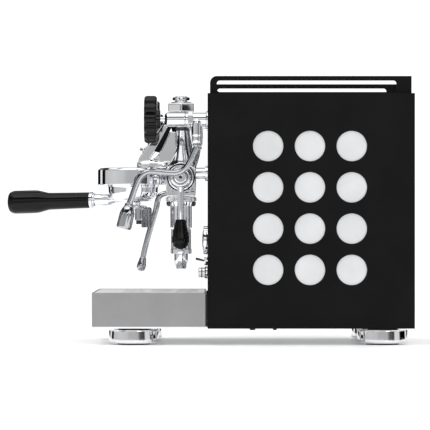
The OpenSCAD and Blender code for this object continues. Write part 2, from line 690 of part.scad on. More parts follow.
module wand(route, s) color("#c8ccd0") {
  tube(placed(route, s), wand_d);
  along_z(11.5, valve_z - 36, valve_z - 32.3, s * (valve_x + swivel_off), swivel_y);
}
module steam_wand() wand(steam_route, -1);
module water_wand() wand(water_route, 1);

module steam_tip() color("#d0d4d8") {
  path = placed(steam_route, -1);
  aim(last(path), run_out(path)) translate([0, 0, 2 * run]) rotate_extrude() union() {
    polygon([[0, 0], [4.6, 0], [5.4, 4], [6.5, 9], [6.5, 11], [0, 11]]);
    intersection() { translate([0, 11]) circle(r = 6.5); translate([0, 5]) square(20); }
  }
}

module water_tip() color("#d0d4d8") {
  path = placed(water_route, 1);
  aim(last(path), run_out(path)) translate([0, 0, 2 * run]) rotate_extrude()
    polygon([[0, 0], [6, 0], [6.4, 2], [8.6, 7], [9.8, 12], [10.2, 30], [9.6, 33], [0, 33]]);
}

// ---- Front panel fittings ----
module gauge_case() color("#d0d4d8") difference() {
  union() {
    along_y(gauge_d, -6, sheet_t, fitting_x, gauge_z);
    along_y(gauge_d - 4, 0, 28, fitting_x, gauge_z);
  }
  along_y(gauge_d - 5, -7, -1, fitting_x, gauge_z);
}
module gauge_dial() color("white") difference() {
  along_y(gauge_d - 5.2, -2, -1, fitting_x, gauge_z);
  along_y(2 + 2 * run, -3, 0, fitting_x, gauge_z);
}
module gauge_needle() color("black") {
  along_y(2, -2.9, -1.2, fitting_x, gauge_z);
  along_y(5, -3, -2.3, fitting_x, gauge_z);
  translate([fitting_x, 0, gauge_z]) rotate([0, -135, 0])
    box([-0.6, 0.6], [-3, -2.4], [-4, gauge_d / 2 - 6]);
}
module gauge_glass() color("#e8f0f4", 0.4) {
  along_y(gauge_d - 5.2, -5.2, -4.2, fitting_x, gauge_z);
  translate([fitting_x, -5.2, gauge_z]) rotate([90, 0, 0]) cylinder(d1 = gauge_d - 8, d2 = gauge_d / 2, h = 2.2);
}

module switch_body() color("#c8ccd0") difference() {
  union() {
    translate([fitting_x, 0, toggle_z]) rotate([90, 0, 0]) cylinder(d = 13, h = 5, $fn = 6);
    along_y(11, 0, 12, fitting_x, toggle_z);
    box([fitting_x - 8, fitting_x + 8], [12, 34], [toggle_z - 9.8, toggle_z + 9.8]);
  }
  translate([fitting_x, -2, toggle_z]) sphere(r = 3.3);
  along_x(2 + 2 * run, fitting_x - 4.6, fitting_x + 4.6, -2, toggle_z);
  translate([fitting_x, -2, toggle_z]) rotate([90, 0, 0]) cylinder(d1 = 3, d2 = 8.6, h = 3.5);
}
module power_toggle() color("#d0d4d8") {
  translate([fitting_x, -2, toggle_z]) sphere(r = 3);
  along_x(2, fitting_x - 4.4, fitting_x + 4.4, -2, toggle_z);
  translate([fitting_x, -2, toggle_z]) rotate([90 - 14, 0, 0]) {
    cylinder(d1 = 2.4, d2 = 3.6, h = 13);
    translate([0, 0, 13]) sphere(d = 3.6);
  }
}

module pilot_lamp() color("#d0d4d8") {
  along_y(16, -3, sheet_t, fitting_x, lamp_z);
  along_y(13, -12.4, -3, fitting_x, lamp_z);
  along_y(8, 0, 16, fitting_x, lamp_z);
}

// ---- Feet ----
module at_feet() for (s = [-1, 1], y = [foot_front_y, foot_back_y]) translate([s * foot_x, y, 0]) children();

module foot_cups() color("#d0d4d8") at_feet() {
  top = base_z - spacer_h;
  rotate_extrude() polygon([[0, pad_h], [foot_d / 2 - 2.5, pad_h], [foot_d / 2, pad_h + 2.5],
    [foot_d / 2, top - 3], [foot_d / 2 - 3, top], [0, top]]);
  along_z(stud_d, top - 1, base_top - gap);
}
module foot_rubbers() color("#202020") at_feet() {
  along_z(44, 0, pad_h);
  difference() {
    along_z(40, base_z - spacer_h, base_z);
    along_z(stud_d + 2 * run, base_z - spacer_h - 1, base_z + 1);
  }
}

// ---- Drip tray ----
tray_z0 = base_top + gap;
tray_z1 = tray_z0 + tray_h;
tray_y0 = -tray_reach;
tray_y1 = -3;
tray_wall = 1.5;
ledge = 1.2;      // width of the ledge that the grille lies on
grille_t = 2;
grille_z = tray_z1 - grille_t - 0.6;

module drip_tray() color("#8f9396") difference() {
  box([-tray_w / 2, tray_w / 2], [tray_y0, tray_y1], [tray_z0, tray_z1]);
  tray_cavity(tray_wall, [tray_z0 + tray_wall, grille_z - 4]);
  tray_cavity(tray_wall + ledge, [tray_z0 + tray_wall, grille_z - gap]);
  tray_cavity(tray_wall, [grille_z - gap, tray_z1 + 1]);
}
module tray_cavity(wall, z)
  box([-tray_w / 2 + wall, tray_w / 2 - wall], [tray_y0 + wall, tray_y1 - wall], z);

module drip_grille() color("silver") difference() {
  tray_cavity(tray_wall + 0.4, [grille_z, grille_z + grille_t]);
  span = tray_w - 30;
  n = floor(span / 14);
  for (i = [0 : n - 1], j = [0 : 2])
    box([-span / 2 + (i + 0.5) * span / n - 2.5, -span / 2 + (i + 0.5) * span / n + 2.5],
      [tray_y0 + 38 + j * 36, tray_y0 + 66 + j * 36], [grille_z - 1, grille_z + 5]);
  along_z(14, grille_z - 1, grille_z + 5, tray_w / 2 - 26, tray_y0 + 20);
}

base_frame();
base_plugs();
front_panel();
back_panel();
side_panel_left();
side_panel_right();
side_liner_left();
side_liner_right();
top_deck();
cup_rail();
tank_lid();
water_tank();
tank_shelf();
boiler();
boiler_flange();
boiler_cradle();
safety_valve();
pump();
control_box();
copper_pipes();
suction_hose();
thermosyphon_pipes();
mains_inlet();
group_body();
group_cap();
group_bell();
group_gasket();
shower_screen();
group_plug();
infusion_chamber();
drain_nozzle();
group_screws();
brew_lever();
lever_grip();
portafilter_body();
filter_basket();
handle_ferrule();
portafilter_handle();
double_spout();
steam_valve();
water_valve();
steam_spindle();
water_spindle();
steam_knob();
water_knob();
steam_wand();
steam_tip();
water_wand();
water_tip();
gauge_case();
gauge_dial();
gauge_needle();
gauge_glass();
switch_body();
power_toggle();
pilot_lamp();
foot_cups();
foot_rubbers();
drip_tray();
drip_grille();
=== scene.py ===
"""Espresso machine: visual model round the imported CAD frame.

Every class below is one sub-assembly. It reads its places from the frame, builds its surfaces with
numpy, dresses them in a procedural finish and rides them on the CAD body that carries them.
"""

import json
import logging
import math
from dataclasses import dataclass, field
from enum import Enum
from typing import Callable, Optional, Sequence

import bpy
import numpy as np
from mathutils import Matrix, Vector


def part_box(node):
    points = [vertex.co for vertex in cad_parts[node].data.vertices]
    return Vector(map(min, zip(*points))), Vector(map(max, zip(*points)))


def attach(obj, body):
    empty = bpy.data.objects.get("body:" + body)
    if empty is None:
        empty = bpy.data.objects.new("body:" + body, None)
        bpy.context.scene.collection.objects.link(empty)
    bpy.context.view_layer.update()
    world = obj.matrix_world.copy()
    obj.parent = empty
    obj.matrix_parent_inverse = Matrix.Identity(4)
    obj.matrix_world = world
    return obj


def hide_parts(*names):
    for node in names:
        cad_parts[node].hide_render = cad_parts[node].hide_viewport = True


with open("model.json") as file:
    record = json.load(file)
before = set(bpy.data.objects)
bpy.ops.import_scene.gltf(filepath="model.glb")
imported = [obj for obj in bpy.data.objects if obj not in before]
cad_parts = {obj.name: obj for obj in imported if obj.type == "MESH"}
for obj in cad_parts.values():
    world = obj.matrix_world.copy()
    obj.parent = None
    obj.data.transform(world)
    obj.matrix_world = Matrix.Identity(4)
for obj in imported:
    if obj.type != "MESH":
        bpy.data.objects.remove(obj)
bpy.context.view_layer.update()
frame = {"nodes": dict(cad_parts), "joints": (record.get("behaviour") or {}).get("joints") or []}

LOG = logging.getLogger("espresso_machine")
MM = 0.001
Point = Sequence[float]


class Axis(Enum):
    """Row axis that a turned part's own z axis lies along."""

    X = "x"
    Y = "y"
    Z = "z"
    MINUS_X = "-x"
    MINUS_Y = "-y"
    MINUS_Z = "-z"


class Shading(Enum):
    """How a mesh's edges are shaded."""

    SMOOTH = 180.0
    CREASED = 38.0


# --------------------------------------------------------------------------------------------
# Surfaces
# --------------------------------------------------------------------------------------------


@dataclass
class Surface:
    """Mesh data under construction.

    Attributes:
        verts: (n, 3) array of points in metres.
        faces: vertex indices of each face.
    """

    verts: np.ndarray
    faces: list[tuple[int, ...]]

    def plus(self, other: "Surface") -> "Surface":
        """Return both surfaces as one."""
        step = len(self.verts)
        moved = [tuple(i + step for i in face) for face in other.faces]
        return Surface(np.vstack([self.verts, other.verts]), self.faces + moved)

    def moved(self, matrix: np.ndarray, to: Point = (0.0, 0.0, 0.0)) -> "Surface":
        """Return the surface turned by a 3x3 matrix and then moved.

        Args:
            matrix: rotation, applied to column vectors.
            to: place of the surface's own origin, in metres.

        Returns:
            The new surface.
        """
        return Surface(self.verts @ matrix.T + np.asarray(to, float), list(self.faces))

    def at(self, to: Point) -> "Surface":
        """Return the surface moved without a turn."""
        return Surface(self.verts + np.asarray(to, float), list(self.faces))


def merge(parts: Sequence[Surface]) -> Surface:
    """Return all the surfaces as one."""
    whole = parts[0]
    for part in parts[1:]:
        whole = whole.plus(part)
    return whole


def axis_matrix(axis: Axis) -> np.ndarray:
    """Return the rotation that lays a part's own z axis along a row axis."""
    z_axis = {
        Axis.X: (1, 0, 0),
        Axis.Y: (0, 1, 0),
        Axis.Z: (0, 0, 1),
        Axis.MINUS_X: (-1, 0, 0),
        Axis.MINUS_Y: (0, -1, 0),
        Axis.MINUS_Z: (0, 0, -1),
    }[axis]
    return aim_matrix(z_axis)


def aim_matrix(direction: Point) -> np.ndarray:
    """Return a rotation whose third column runs along a direction.

    Args:
        direction: where the part's own z axis points.

    Returns:
        3x3 matrix with right-handed columns.
    """
    w = np.asarray(direction, float)
    w = w / np.linalg.norm(w)
    helper = np.array([0.0, 0.0, 1.0]) if abs(w[2]) < 0.9 else np.array([0.0, 1.0, 0.0])
    u = np.cross(helper, w)
    u = u / np.linalg.norm(u)
    return np.column_stack([u, np.cross(w, u), w])


def turn_z(degrees: float) -> np.ndarray:
    """Return the rotation about the row's z axis."""
    a = math.radians(degrees)
    return np.array([[math.cos(a), -math.sin(a), 0], [math.sin(a), math.cos(a), 0], [0, 0, 1.0]])


def grid(points: np.ndarray, close_u: bool = False, close_v: bool = True) -> Surface:
    """Turn a grid of points P(u, v) into quads between neighbours.

    Args:
        points: (nu, nv, 3) array.
        close_u: join the last row to the first.
        close_v: join the last column to the first.

    Returns:
        The surface.
    """
    nu, nv = points.shape[:2]
    index = np.arange(nu * nv).reshape(nu, nv)
    below = np.roll(index, -1, axis=0) if close_u else index[1:]
    above = index if close_u else index[:-1]
    right_above = np.roll(above, -1, axis=1)
    right_below = np.roll(below, -1, axis=1)
    quads = np.stack([above, right_above, right_below, below], axis=-1)
    if not close_v:
        quads = quads[:, :-1]
    return Surface(points.reshape(-1, 3), [tuple(q) for q in quads.reshape(-1, 4).tolist()])


def rounded(points: Sequence[Point], radius: float, steps: int = 4) -> np.ndarray:
    """Round the corners of a profile.

    Each inner corner P becomes a quadratic curve between the points at the given distance before
    and after it: (1-t)^2 A + 2t(1-t) P + t^2 B.

    Args:
        points: (r, z) pairs in millimetres.
        radius: distance from a corner at which the curve starts, at most 0.45 of a side.
        steps: pieces in each curve.

    Returns:
        (n, 2) profile.
    """
    p = np.asarray(points, float)
    out = [p[0]]
    t = np.linspace(0, 1, steps + 1)[:, None]
    for before, corner, after in zip(p[:-2], p[1:-1], p[2:]):
        a_len, b_len = np.linalg.norm(before - corner), np.linalg.norm(after - corner)
        a = corner + (before - corner) * min(radius, 0.45 * a_len) / a_len
        b = corner + (after - corner) * min(radius, 0.45 * b_len) / b_len
        out.extend((1 - t) ** 2 * a + 2 * t * (1 - t) * corner + t**2 * b)
    out.append(p[-1])
    return np.array(out)


def turned(
    profile: np.ndarray,
    segments: int = 64,
    wave: Optional[Callable[[np.ndarray, np.ndarray], np.ndarray]] = None,
) -> Surface:
    """Surface of revolution: P(s, a) = (r(s) w cos a, r(s) w sin a, z(s)), with w = wave(a, z).

    Args:
        profile: (n, 2) pairs of radius and height in millimetres, axis to axis or a closed loop.
        segments: divisions round the axis.
        wave: factor on the radius as a function of angle and height in millimetres.

    Returns:
        The surface in metres.
    """
    angle = np.linspace(0, 2 * np.pi, segments, endpoint=False)[None, :]
    r, z = profile[:, 0][:, None], profile[:, 1][:, None]
    factor = np.ones_like(angle * z) if wave is None else wave(angle, z)
    points = np.stack([r * factor * np.cos(angle), r * factor * np.sin(angle), z + 0 * angle], axis=-1)
    closed = bool(np.allclose(profile[0], profile[-1])) and profile[0, 0] > 1e-9
    return grid((points[:-1] if closed else points) * MM, close_u=closed)


def spline(points: Sequence[Point], per_span: int = 10) -> np.ndarray:
    """Smooth curve through points by the Catmull-Rom formula.

    Args:
        points: the points to pass through.
        per_span: steps between two of them.

    Returns:
        (n, 3) path.
    """
    p = np.asarray(points, float)
    a = np.vstack([2 * p[0] - p[1], p[:-2]])
    b, c = p[:-1], p[1:]
    e = np.vstack([p[2:], 2 * p[-1] - p[-2]])
    t = np.linspace(0, 1, per_span, endpoint=False)[None, :, None]
    a, b, c, e = (q[:, None, :] for q in (a, b, c, e))
    spans = 0.5 * (2 * b + (c - a) * t + (2 * a - 5 * b + 4 * c - e) * t**2
                   + (3 * b - a - 3 * c + e) * t**3)
    return np.vstack([spans.reshape(-1, 3), p[-1]])


def swept(path: np.ndarray, radii: np.ndarray, side: Point = (1, 0, 0), segments: int = 28) -> Surface:
    """Round tube: P(s, a) = C(s) + r(s) (U cos a + V sin a), U and V square to the path, with round ends.

    Args:
        path: (n, 3) centre line in metres.
        radii: (n,) radii in metres.
        side: a direction that the path never runs along.
        segments: divisions round the tube.

    Returns:
        The closed surface.
    """
    tangent = np.gradient(path, axis=0)
    tangent /= np.linalg.norm(tangent, axis=1)[:, None]
    u = np.cross(tangent, np.asarray(side, float))
    u /= np.linalg.norm(u, axis=1)[:, None]
    v = np.cross(tangent, u)
    angle = np.linspace(0, 2 * np.pi, segments, endpoint=False)
    ring = u[:, None, :] * np.cos(angle)[None, :, None] + v[:, None, :] * np.sin(angle)[None, :, None]
    points = path[:, None, :] + radii[:, None, None] * ring
    first = np.broadcast_to(path[0], (1, segments, 3))
    last = np.broadcast_to(path[-1], (1, segments, 3))
    return grid(np.concatenate([first, points, last]))


def lofted(sections: Sequence[Sequence[float]], segments: int = 72, per_span: int = 8) -> Surface:
    """Casting whose cross-sections are superellipses |x/a|^n + |y/b|^n = 1.

    Args:
        sections: (x, y, z, a, b, n) of each section, in millimetres, bottom to top.
        segments: divisions round a section.
        per_span: steps between two sections.

    Returns:
        The closed surface in metres.
    """
    s = np.asarray(sections, float)
    centres = spline(s[:, :3], per_span)
    sizes = spline(s[:, 3:], per_span)
    angle = np.linspace(0, 2 * np.pi, segments, endpoint=False)[None, :]
    power = 2 / sizes[:, 2][:, None]
    cos, sin = np.cos(angle), np.sin(angle)
    x = sizes[:, 0][:, None] * np.sign(cos) * np.abs(cos) ** power
    y = sizes[:, 1][:, None] * np.sign(sin) * np.abs(sin) ** power
    points = np.stack([centres[:, 0][:, None] + x, centres[:, 1][:, None] + y,
                       centres[:, 2][:, None] + 0 * x], axis=-1)
    ends = [np.broadcast_to(centres[i], (1, segments, 3)) for i in (0, -1)]
    return grid(np.concatenate([ends[0], points, ends[1]]) * MM)


def prism(outline: Sequence[Point], low: float, high: float, axis: Axis = Axis.X) -> Surface:
    """Flat outline pulled along an axis.

    Args:
        outline: corners in millimetres: (y, z) for Axis.X, (x, z) for Axis.Y, (x, y) for Axis.Z.
        low: start along the axis, in millimetres.
        high: end along the axis, in millimetres.
        axis: direction of the pull.

    Returns:
        The closed surface in metres.
    """
    flat = np.asarray(outline, float)
    n = len(flat)
    layers = []
    for depth in (low, high):
        d = np.full((n, 1), depth)
        columns = {Axis.X: (d, flat[:, :1], flat[:, 1:]), Axis.Y: (flat[:, :1], d, flat[:, 1:])}
        layers.append(np.hstack(columns.get(axis, (flat[:, :1], flat[:, 1:], d))))
    sides = [(i, (i + 1) % n, n + (i + 1) % n, n + i) for i in range(n)]
    caps = [tuple(range(n - 1, -1, -1)), tuple(range(n, 2 * n))]
    return Surface(np.vstack(layers) * MM, sides + caps)


def regular(sides: int, across: float, turn: float = 0.0) -> list[tuple[float, float]]:
    """Return the corners of a regular polygon with the given width across its corners."""
    angles = [math.radians(turn + 360 * i / sides) for i in range(sides)]
    return [(across / 2 * math.cos(a), across / 2 * math.sin(a)) for a in angles]


def publish(
    name: str,
    surface: Surface,
    finish: "Finish",
    body: str,
    replaces: Sequence[str] = (),
    shading: Shading = Shading.CREASED,
    bevel: float = 0.0,
    fuse: float = 0.0,
) -> bpy.types.Object:
    """Make a Blender piece of a surface, dress it and let it ride on its body.

    Args:
        name: the piece's name.
        surface: its geometry.
        finish: what it is made of.
        body: the CAD body that carries it.
        replaces: CAD nodes that it stands for.
        shading: how its edges are shaded.
        bevel: width of rounded edges in millimetres, or 0 for none.
        fuse: voxel size in millimetres with which overlapping parts are fused into one casting, or 0.

    Returns:
        The new object.
    """
    mesh = bpy.data.meshes.new(name)
    mesh.from_pydata(surface.verts.tolist(), [], surface.faces)
    clean(mesh)
    mesh.polygons.foreach_set("use_smooth", [True] * len(mesh.polygons))
    if shading is not Shading.SMOOTH:
        mesh.set_sharp_from_angle(angle=math.radians(shading.value))
    piece = bpy.data.objects.new(name, mesh)
    bpy.context.scene.collection.objects.link(piece)
    if bevel:
        modifier = piece.modifiers.new("rounded_edges", "BEVEL")
        modifier.width = bevel * MM
        modifier.segments = 3
        modifier.limit_method = "ANGLE"
        modifier.angle_limit = math.radians(35)
        modifier.harden_normals = True
    if fuse:
        modifier = piece.modifiers.new("fused", "REMESH")
        modifier.mode = "VOXEL"
        modifier.voxel_size = fuse * MM
        modifier.use_smooth_shade = True
        modifier = piece.modifiers.new("fettled", "SMOOTH")
        modifier.factor = 0.5
        modifier.iterations = 6
    mesh.materials.append(finish.material())
    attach(piece, body)
    if replaces:
        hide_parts(*replaces)
    LOG.info("%s: %d faces on %s", name, len(mesh.polygons), body)
    return piece


def clean(mesh: bpy.types.Mesh) -> None:
    """Merge doubled points, drop faces without area and point all faces outwards."""
    import bmesh

    work = bmesh.new()
    work.from_mesh(mesh)
    bmesh.ops.remove_doubles(work, verts=work.verts, dist=2e-6)
    bmesh.ops.dissolve_degenerate(work, edges=work.edges, dist=1e-7)
    bmesh.ops.recalc_face_normals(work, faces=work.faces)
    work.to_mesh(mesh)
    work.free()


# --------------------------------------------------------------------------------------------
# Finishes
# --------------------------------------------------------------------------------------------


@dataclass(frozen=True)
class Finish:
    """A procedural material.

    Attributes:
        name: the material's name.
        slot: the record's material slot that it belongs to; not used.
        color: base colour, linear RGB.
        shade: second colour, which a broad cloud pattern mixes in.
        metallic: 1 for bare metal.
        roughness: mean roughness.
        spread: how far the roughness varies.
        grain: size of the surface's bump pattern, in cells per metre.
        bump: depth of the bump, in metres.
        stretch: scale of the pattern along x, y and z, to draw it out into brush lines.
        coat: clear coat weight.
        transmission: 1 for clear pieces.
        specular: level of the plain reflection.
    """

    name: str
    slot: str
    color: tuple[float, float, float]
    shade: tuple[float, float, float]
    metallic: float = 0.0
    roughness: float = 0.4
    spread: float = 0.05
    grain: float = 900.0
    bump: float = 0.00001
    stretch: tuple[float, float, float] = (1.0, 1.0, 1.0)
    coat: float = 0.0
    transmission: float = 0.0
    specular: float = 0.5

    def material(self) -> bpy.types.Material:
        """Return the material, making it the first time."""
        known = bpy.data.materials.get(self.name)
        if known is not None:
            return known
        made = bpy.data.materials.new(self.name)
        made.use_nodes = True
        made.diffuse_color = (*self.color, 1.0)
        tree = made.node_tree
        shader = tree.nodes["Principled BSDF"]
        shader.inputs["Metallic"].default_value = self.metallic
        shader.inputs["Coat Weight"].default_value = self.coat
        shader.inputs["Coat Roughness"].default_value = 0.04
        shader.inputs["Transmission Weight"].default_value = self.transmission
        shader.inputs["Specular IOR Level"].default_value = self.specular
        where = tree.nodes.new("ShaderNodeTexCoord").outputs["Object"]
        drawn = self._mapping(tree, where)
        self._color(tree, where, shader)
        self._roughness(tree, drawn, shader)
        self._bump(tree, drawn, shader)
        return made

    def _mapping(self, tree: bpy.types.NodeTree, where: bpy.types.NodeSocket) -> bpy.types.NodeSocket:
        """Return Object coordinates stretched along the brush lines."""
        node = tree.nodes.new("ShaderNodeMapping")
        node.inputs["Scale"].default_value = self.stretch
        tree.links.new(where, node.inputs["Vector"])
        return node.outputs["Vector"]

    def _noise(self, tree: bpy.types.NodeTree, where: bpy.types.NodeSocket,
               scale: float) -> bpy.types.NodeSocket:
        """Return a noise pattern's value at a scale in cells per metre."""
        node = tree.nodes.new("ShaderNodeTexNoise")
        node.inputs["Scale"].default_value = scale
        node.inputs["Detail"].default_value = 4.0
        tree.links.new(where, node.inputs["Vector"])
        return node.outputs["Fac"]

    def _color(self, tree: bpy.types.NodeTree, where: bpy.types.NodeSocket,
               shader: bpy.types.Node) -> None:
        """Mix the two colours by a broad cloud pattern."""
        ramp = tree.nodes.new("ShaderNodeValToRGB")
        ramp.color_ramp.elements[0].position = 0.35
        ramp.color_ramp.elements[0].color = (*self.shade, 1.0)
        ramp.color_ramp.elements[1].position = 0.65
        ramp.color_ramp.elements[1].color = (*self.color, 1.0)
        tree.links.new(self._noise(tree, where, 18.0), ramp.inputs["Fac"])
        tree.links.new(ramp.outputs["Color"], shader.inputs["Base Color"])

    def _roughness(self, tree: bpy.types.NodeTree, where: bpy.types.NodeSocket,
                   shader: bpy.types.Node) -> None:
        """Vary the roughness about its mean with a fine pattern."""
        node = tree.nodes.new("ShaderNodeMapRange")
        node.inputs["To Min"].default_value = max(0.0, self.roughness - self.spread)
        node.inputs["To Max"].default_value = min(1.0, self.roughness + self.spread)
        tree.links.new(self._noise(tree, where, self.grain * 0.3), node.inputs["Value"])
        tree.links.new(node.outputs["Result"], shader.inputs["Roughness"])

    def _bump(self, tree: bpy.types.NodeTree, where: bpy.types.NodeSocket,
              shader: bpy.types.Node) -> None:
        """Raise the fine grain out of the surface."""
        node = tree.nodes.new("ShaderNodeBump")
        node.inputs["Strength"].default_value = 1.0
        node.inputs["Distance"].default_value = self.bump
        tree.links.new(self._noise(tree, where, self.grain), node.inputs["Height"])
        tree.links.new(node.outputs["Normal"], shader.inputs["Normal"])


CHROME = Finish("chrome_plate", "chrome", (0.86, 0.87, 0.89), (0.80, 0.81, 0.83), 1.0, 0.05, 0.03, 120.0,
                3e-6)
POLISHED = Finish("polished_sheet", "polished_steel", (0.84, 0.85, 0.86), (0.78, 0.79, 0.80), 1.0, 0.09,
                  0.04, 200.0, 3e-6)
BRUSHED = Finish("brushed_sheet", "brushed_steel", (0.37, 0.37, 0.375), (0.335, 0.335, 0.34), 1.0, 0.36,
                 0.06, 1800.0, 1.2e-5, (1.0, 0.02, 1.0))
SATIN = Finish("satin_sheet", "polished_steel", (0.62, 0.63, 0.64), (0.56, 0.57, 0.58), 1.0, 0.30, 0.06,
               1800.0, 1.0e-5, (1.0, 1.0, 0.02))
GRILLE = Finish("brushed_grille", "brushed_steel", (0.93, 0.93, 0.94), (0.87, 0.87, 0.88), 0.5, 0.32,
                0.06, 1800.0, 1.0e-5, (0.02, 1.0, 1.0))
BLACK_PAINT = Finish("black_powder_coat", "black_paint", (0.0075, 0.0075, 0.0077),
                     (0.0060, 0.0060, 0.0062), 0.0, 0.46, 0.05, 3200.0, 2.2e-5, specular=0.05)
LINER = Finish("satin_liner_sheet", "satin_liner", (0.74, 0.75, 0.76), (0.66, 0.67, 0.68), 0.35, 0.30,
               0.05, 1500.0, 4e-6, (1.0, 1.0, 0.03))
FOOT_CHROME = Finish("foot_chrome", "chrome", (0.84, 0.84, 0.85), (0.76, 0.76, 0.78), 1.0, 0.06, 0.04,
                     900.0, 6e-6, (1.0, 1.0, 0.03))
# Darker copy of the chrome for the wand tubes, their tips and the spout cups: the lower base colour is
# painted shade that makes them look darker than the other chrome.
SHADED_TUBE_CHROME = Finish("chrome_tube_painted_shade", "chrome", (0.52, 0.53, 0.55), (0.44, 0.45, 0.47), 1.0, 0.06, 0.03, 120.0,
              3e-6)
RESIN = Finish("black_resin", "black_gloss", (0.004, 0.004, 0.004), (0.003, 0.003, 0.003), 0.0, 0.09,
               0.03, 260.0, 6e-6, specular=0.2)
KNOB_RESIN = Finish("black_knob_resin", "black_gloss", (0.004, 0.004, 0.004), (0.003, 0.003, 0.003), 0.0,
                    0.08, 0.04, 700.0, 1e-5, specular=0.26)
RUBBER = Finish("black_rubber", "black_rubber", (0.018, 0.018, 0.018), (0.012, 0.012, 0.012), 0.0, 0.72,
                0.08, 1400.0, 2e-5)
MATT_PLASTIC = Finish("matt_black_plastic", "black_plastic", (0.02, 0.02, 0.021), (0.014, 0.014, 0.015),
                      0.0, 0.5, 0.06, 1600.0, 1.5e-5)
DARK_STEEL = Finish("dark_steel", "dark_steel", (0.06, 0.06, 0.065), (0.03, 0.03, 0.033), 1.0, 0.22, 0.06,
                    400.0, 5e-6)
COPPER = Finish("drawn_copper", "copper", (0.72, 0.37, 0.24), (0.55, 0.25, 0.15), 1.0, 0.28, 0.08, 500.0,
                8e-6)
BRASS = Finish("machined_brass", "brass", (0.70, 0.55, 0.27), (0.58, 0.44, 0.2), 1.0, 0.26, 0.07, 700.0,
               8e-6)
CLEAR_PLASTIC = Finish("clear_plastic", "clear_plastic", (0.85, 0.90, 0.93), (0.80, 0.86, 0.90), 0.0,
                       0.12, 0.04, 300.0, 4e-6, transmission=0.8)
GLASS = Finish("gauge_glass_clear", "clear_glass", (0.98, 0.99, 1.0), (0.96, 0.98, 0.99), 0.0, 0.02, 0.01,
               60.0, 1e-7, transmission=1.0)
ENAMEL = Finish("dial_enamel", "white_enamel", (0.82, 0.82, 0.80), (0.78, 0.78, 0.76), 0.0, 0.35, 0.04,
                900.0, 3e-6)
LAMP_GREEN = Finish("lamp_lens_green", "chrome", (0.05, 0.42, 0.12), (0.03, 0.30, 0.08), 0.0, 0.12, 0.03,
                    300.0, 3e-6, coat=0.5)


def middle(node: str) -> np.ndarray:
    """Return the middle of a CAD node's box in millimetres."""
    low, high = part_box(node)
    return (np.asarray(low) + np.asarray(high)) / 2 / MM


def edge(node: str, axis: int, side: int) -> float:
    """Return one face of a CAD node's box in millimetres.

    Args:
        node: the node's name.
        axis: 0, 1 or 2 for x, y or z.
        side: 0 for the low face and 1 for the high one.

    Returns:
        The coordinate.
    """
    return float(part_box(node)[side][axis]) / MM


def joint_place(name: str) -> np.ndarray:
    """Return a joint's position in millimetres."""
    return next(np.asarray(j["pos_m"], float) / MM for j in frame["joints"] if j["name"] == name)


# --------------------------------------------------------------------------------------------
# Sub-assemblies
# --------------------------------------------------------------------------------------------


@dataclass
class Housing:
    """Sheet-metal case, deck, rail, tank and the parts inside: CAD nodes with their finishes.

    Attributes:
        finishes: finish of each CAD node that keeps its CAD shape.
    """

    finishes: dict[str, Finish] = field(default_factory=lambda: {
        "base_frame": POLISHED, "front_panel": POLISHED, "back_panel": SATIN, "top_deck": POLISHED,
        "tank_lid": POLISHED, "side_panel_left": BLACK_PAINT, "side_panel_right": BLACK_PAINT,
        "cup_rail": BLACK_PAINT, "side_liner_left": LINER, "side_liner_right": LINER,
        "water_tank": CLEAR_PLASTIC, "tank_shelf": BRUSHED, "boiler": COPPER, "boiler_flange": BRASS,
        "boiler_cradle": BRUSHED, "safety_valve": BRASS, "pump": MATT_PLASTIC,
        "control_box": MATT_PLASTIC, "copper_pipes": COPPER, "suction_hose": CLEAR_PLASTIC,
        "thermosyphon_pipes": CHROME, "mains_inlet": MATT_PLASTIC, "base_plugs": RUBBER,
        "group_gasket": RUBBER, "shower_screen": GRILLE, "filter_basket": GRILLE,
        "steam_spindle": CHROME, "water_spindle": CHROME, "drip_tray": BRUSHED, "drip_grille": GRILLE,
        "gauge_needle": MATT_PLASTIC, "gauge_dial": ENAMEL,
    })
    screw_head: float = 5.6

    def dress(self) -> None:
        """Give every CAD node that stays its finish."""
        for node, finish in self.finishes.items():
            piece = frame["nodes"][node]
            piece.data.materials.clear()
            piece.data.materials.append(finish.material())
            LOG.info("%s: finished as %s", node, finish.name)

    def screw(self, place: Point, axis: Axis) -> Surface:
        """Return a domed screw head with a hexagon socket, standing on a panel.

        Args:
            place: centre of the head's underside in millimetres.
            axis: outward direction.

        Returns:
            The surface.
        """
        r = self.screw_head / 2
        head = turned(rounded([(0, 0), (r, 0), (r, 0.6), (r * 0.62, 1.3), (r * 0.5, 1.35), (r * 0.5, 0.6),
                               (0, 0.6)], 0.35), 24)
        return head.moved(axis_matrix(axis), np.asarray(place) * MM)

    def gap_shade_strips(self) -> None:
        """Two upright black rubber strips at the tray's sides, in the gap between the tray and the front
        panel: painted shade that darkens this gap.
        """
        low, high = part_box("drip_tray")
        side, back = float(high[0]) / MM, float(high[1]) / MM
        z0, z1 = float(low[2]) / MM + 0.5, float(high[2]) / MM - 2.5
        front, rear = back + 0.15, -0.15
        strips = [prism([(x - 4, front), (x + 4, front), (x + 4, rear), (x - 4, rear)], z0, z1, Axis.Z)
                  for x in (4 - side, side - 4)]
        publish("tray_gap_shade", merge(strips), RUBBER, "chassis", bevel=0.3)

    def fastenings(self) -> None:
        """Build the back panel's screws and the inlet's contact blades."""
        back = edge("side_panel_left", 1, 1) - 1.5
        low, high = edge("back_panel", 2, 0) + 14, edge("back_panel", 2, 1) - 14
        x = edge("back_panel", 0, 1) - 20
        heads = [self.screw((side * x, back, z), Axis.Y)
                 for side in (-1, 1) for z in (low, (low + high) / 2, high)]
        publish("panel_screws", merge(heads), DARK_STEEL, "chassis")
        inlet = middle("mains_inlet")
        blades = [prism([(inlet[0] + dx - 1, inlet[2] + dz - 2), (inlet[0] + dx + 1, inlet[2] + dz - 2),
                         (inlet[0] + dx + 1, inlet[2] + dz + 2), (inlet[0] + dx - 1, inlet[2] + dz + 2)],
                        inlet[1] - 5.5, inlet[1] + 9, Axis.Y) for dx, dz in ((-7, -1), (0, 2), (7, -1))]
        publish("inlet_blades", merge(blades), BRASS, "chassis", bevel=0.2)


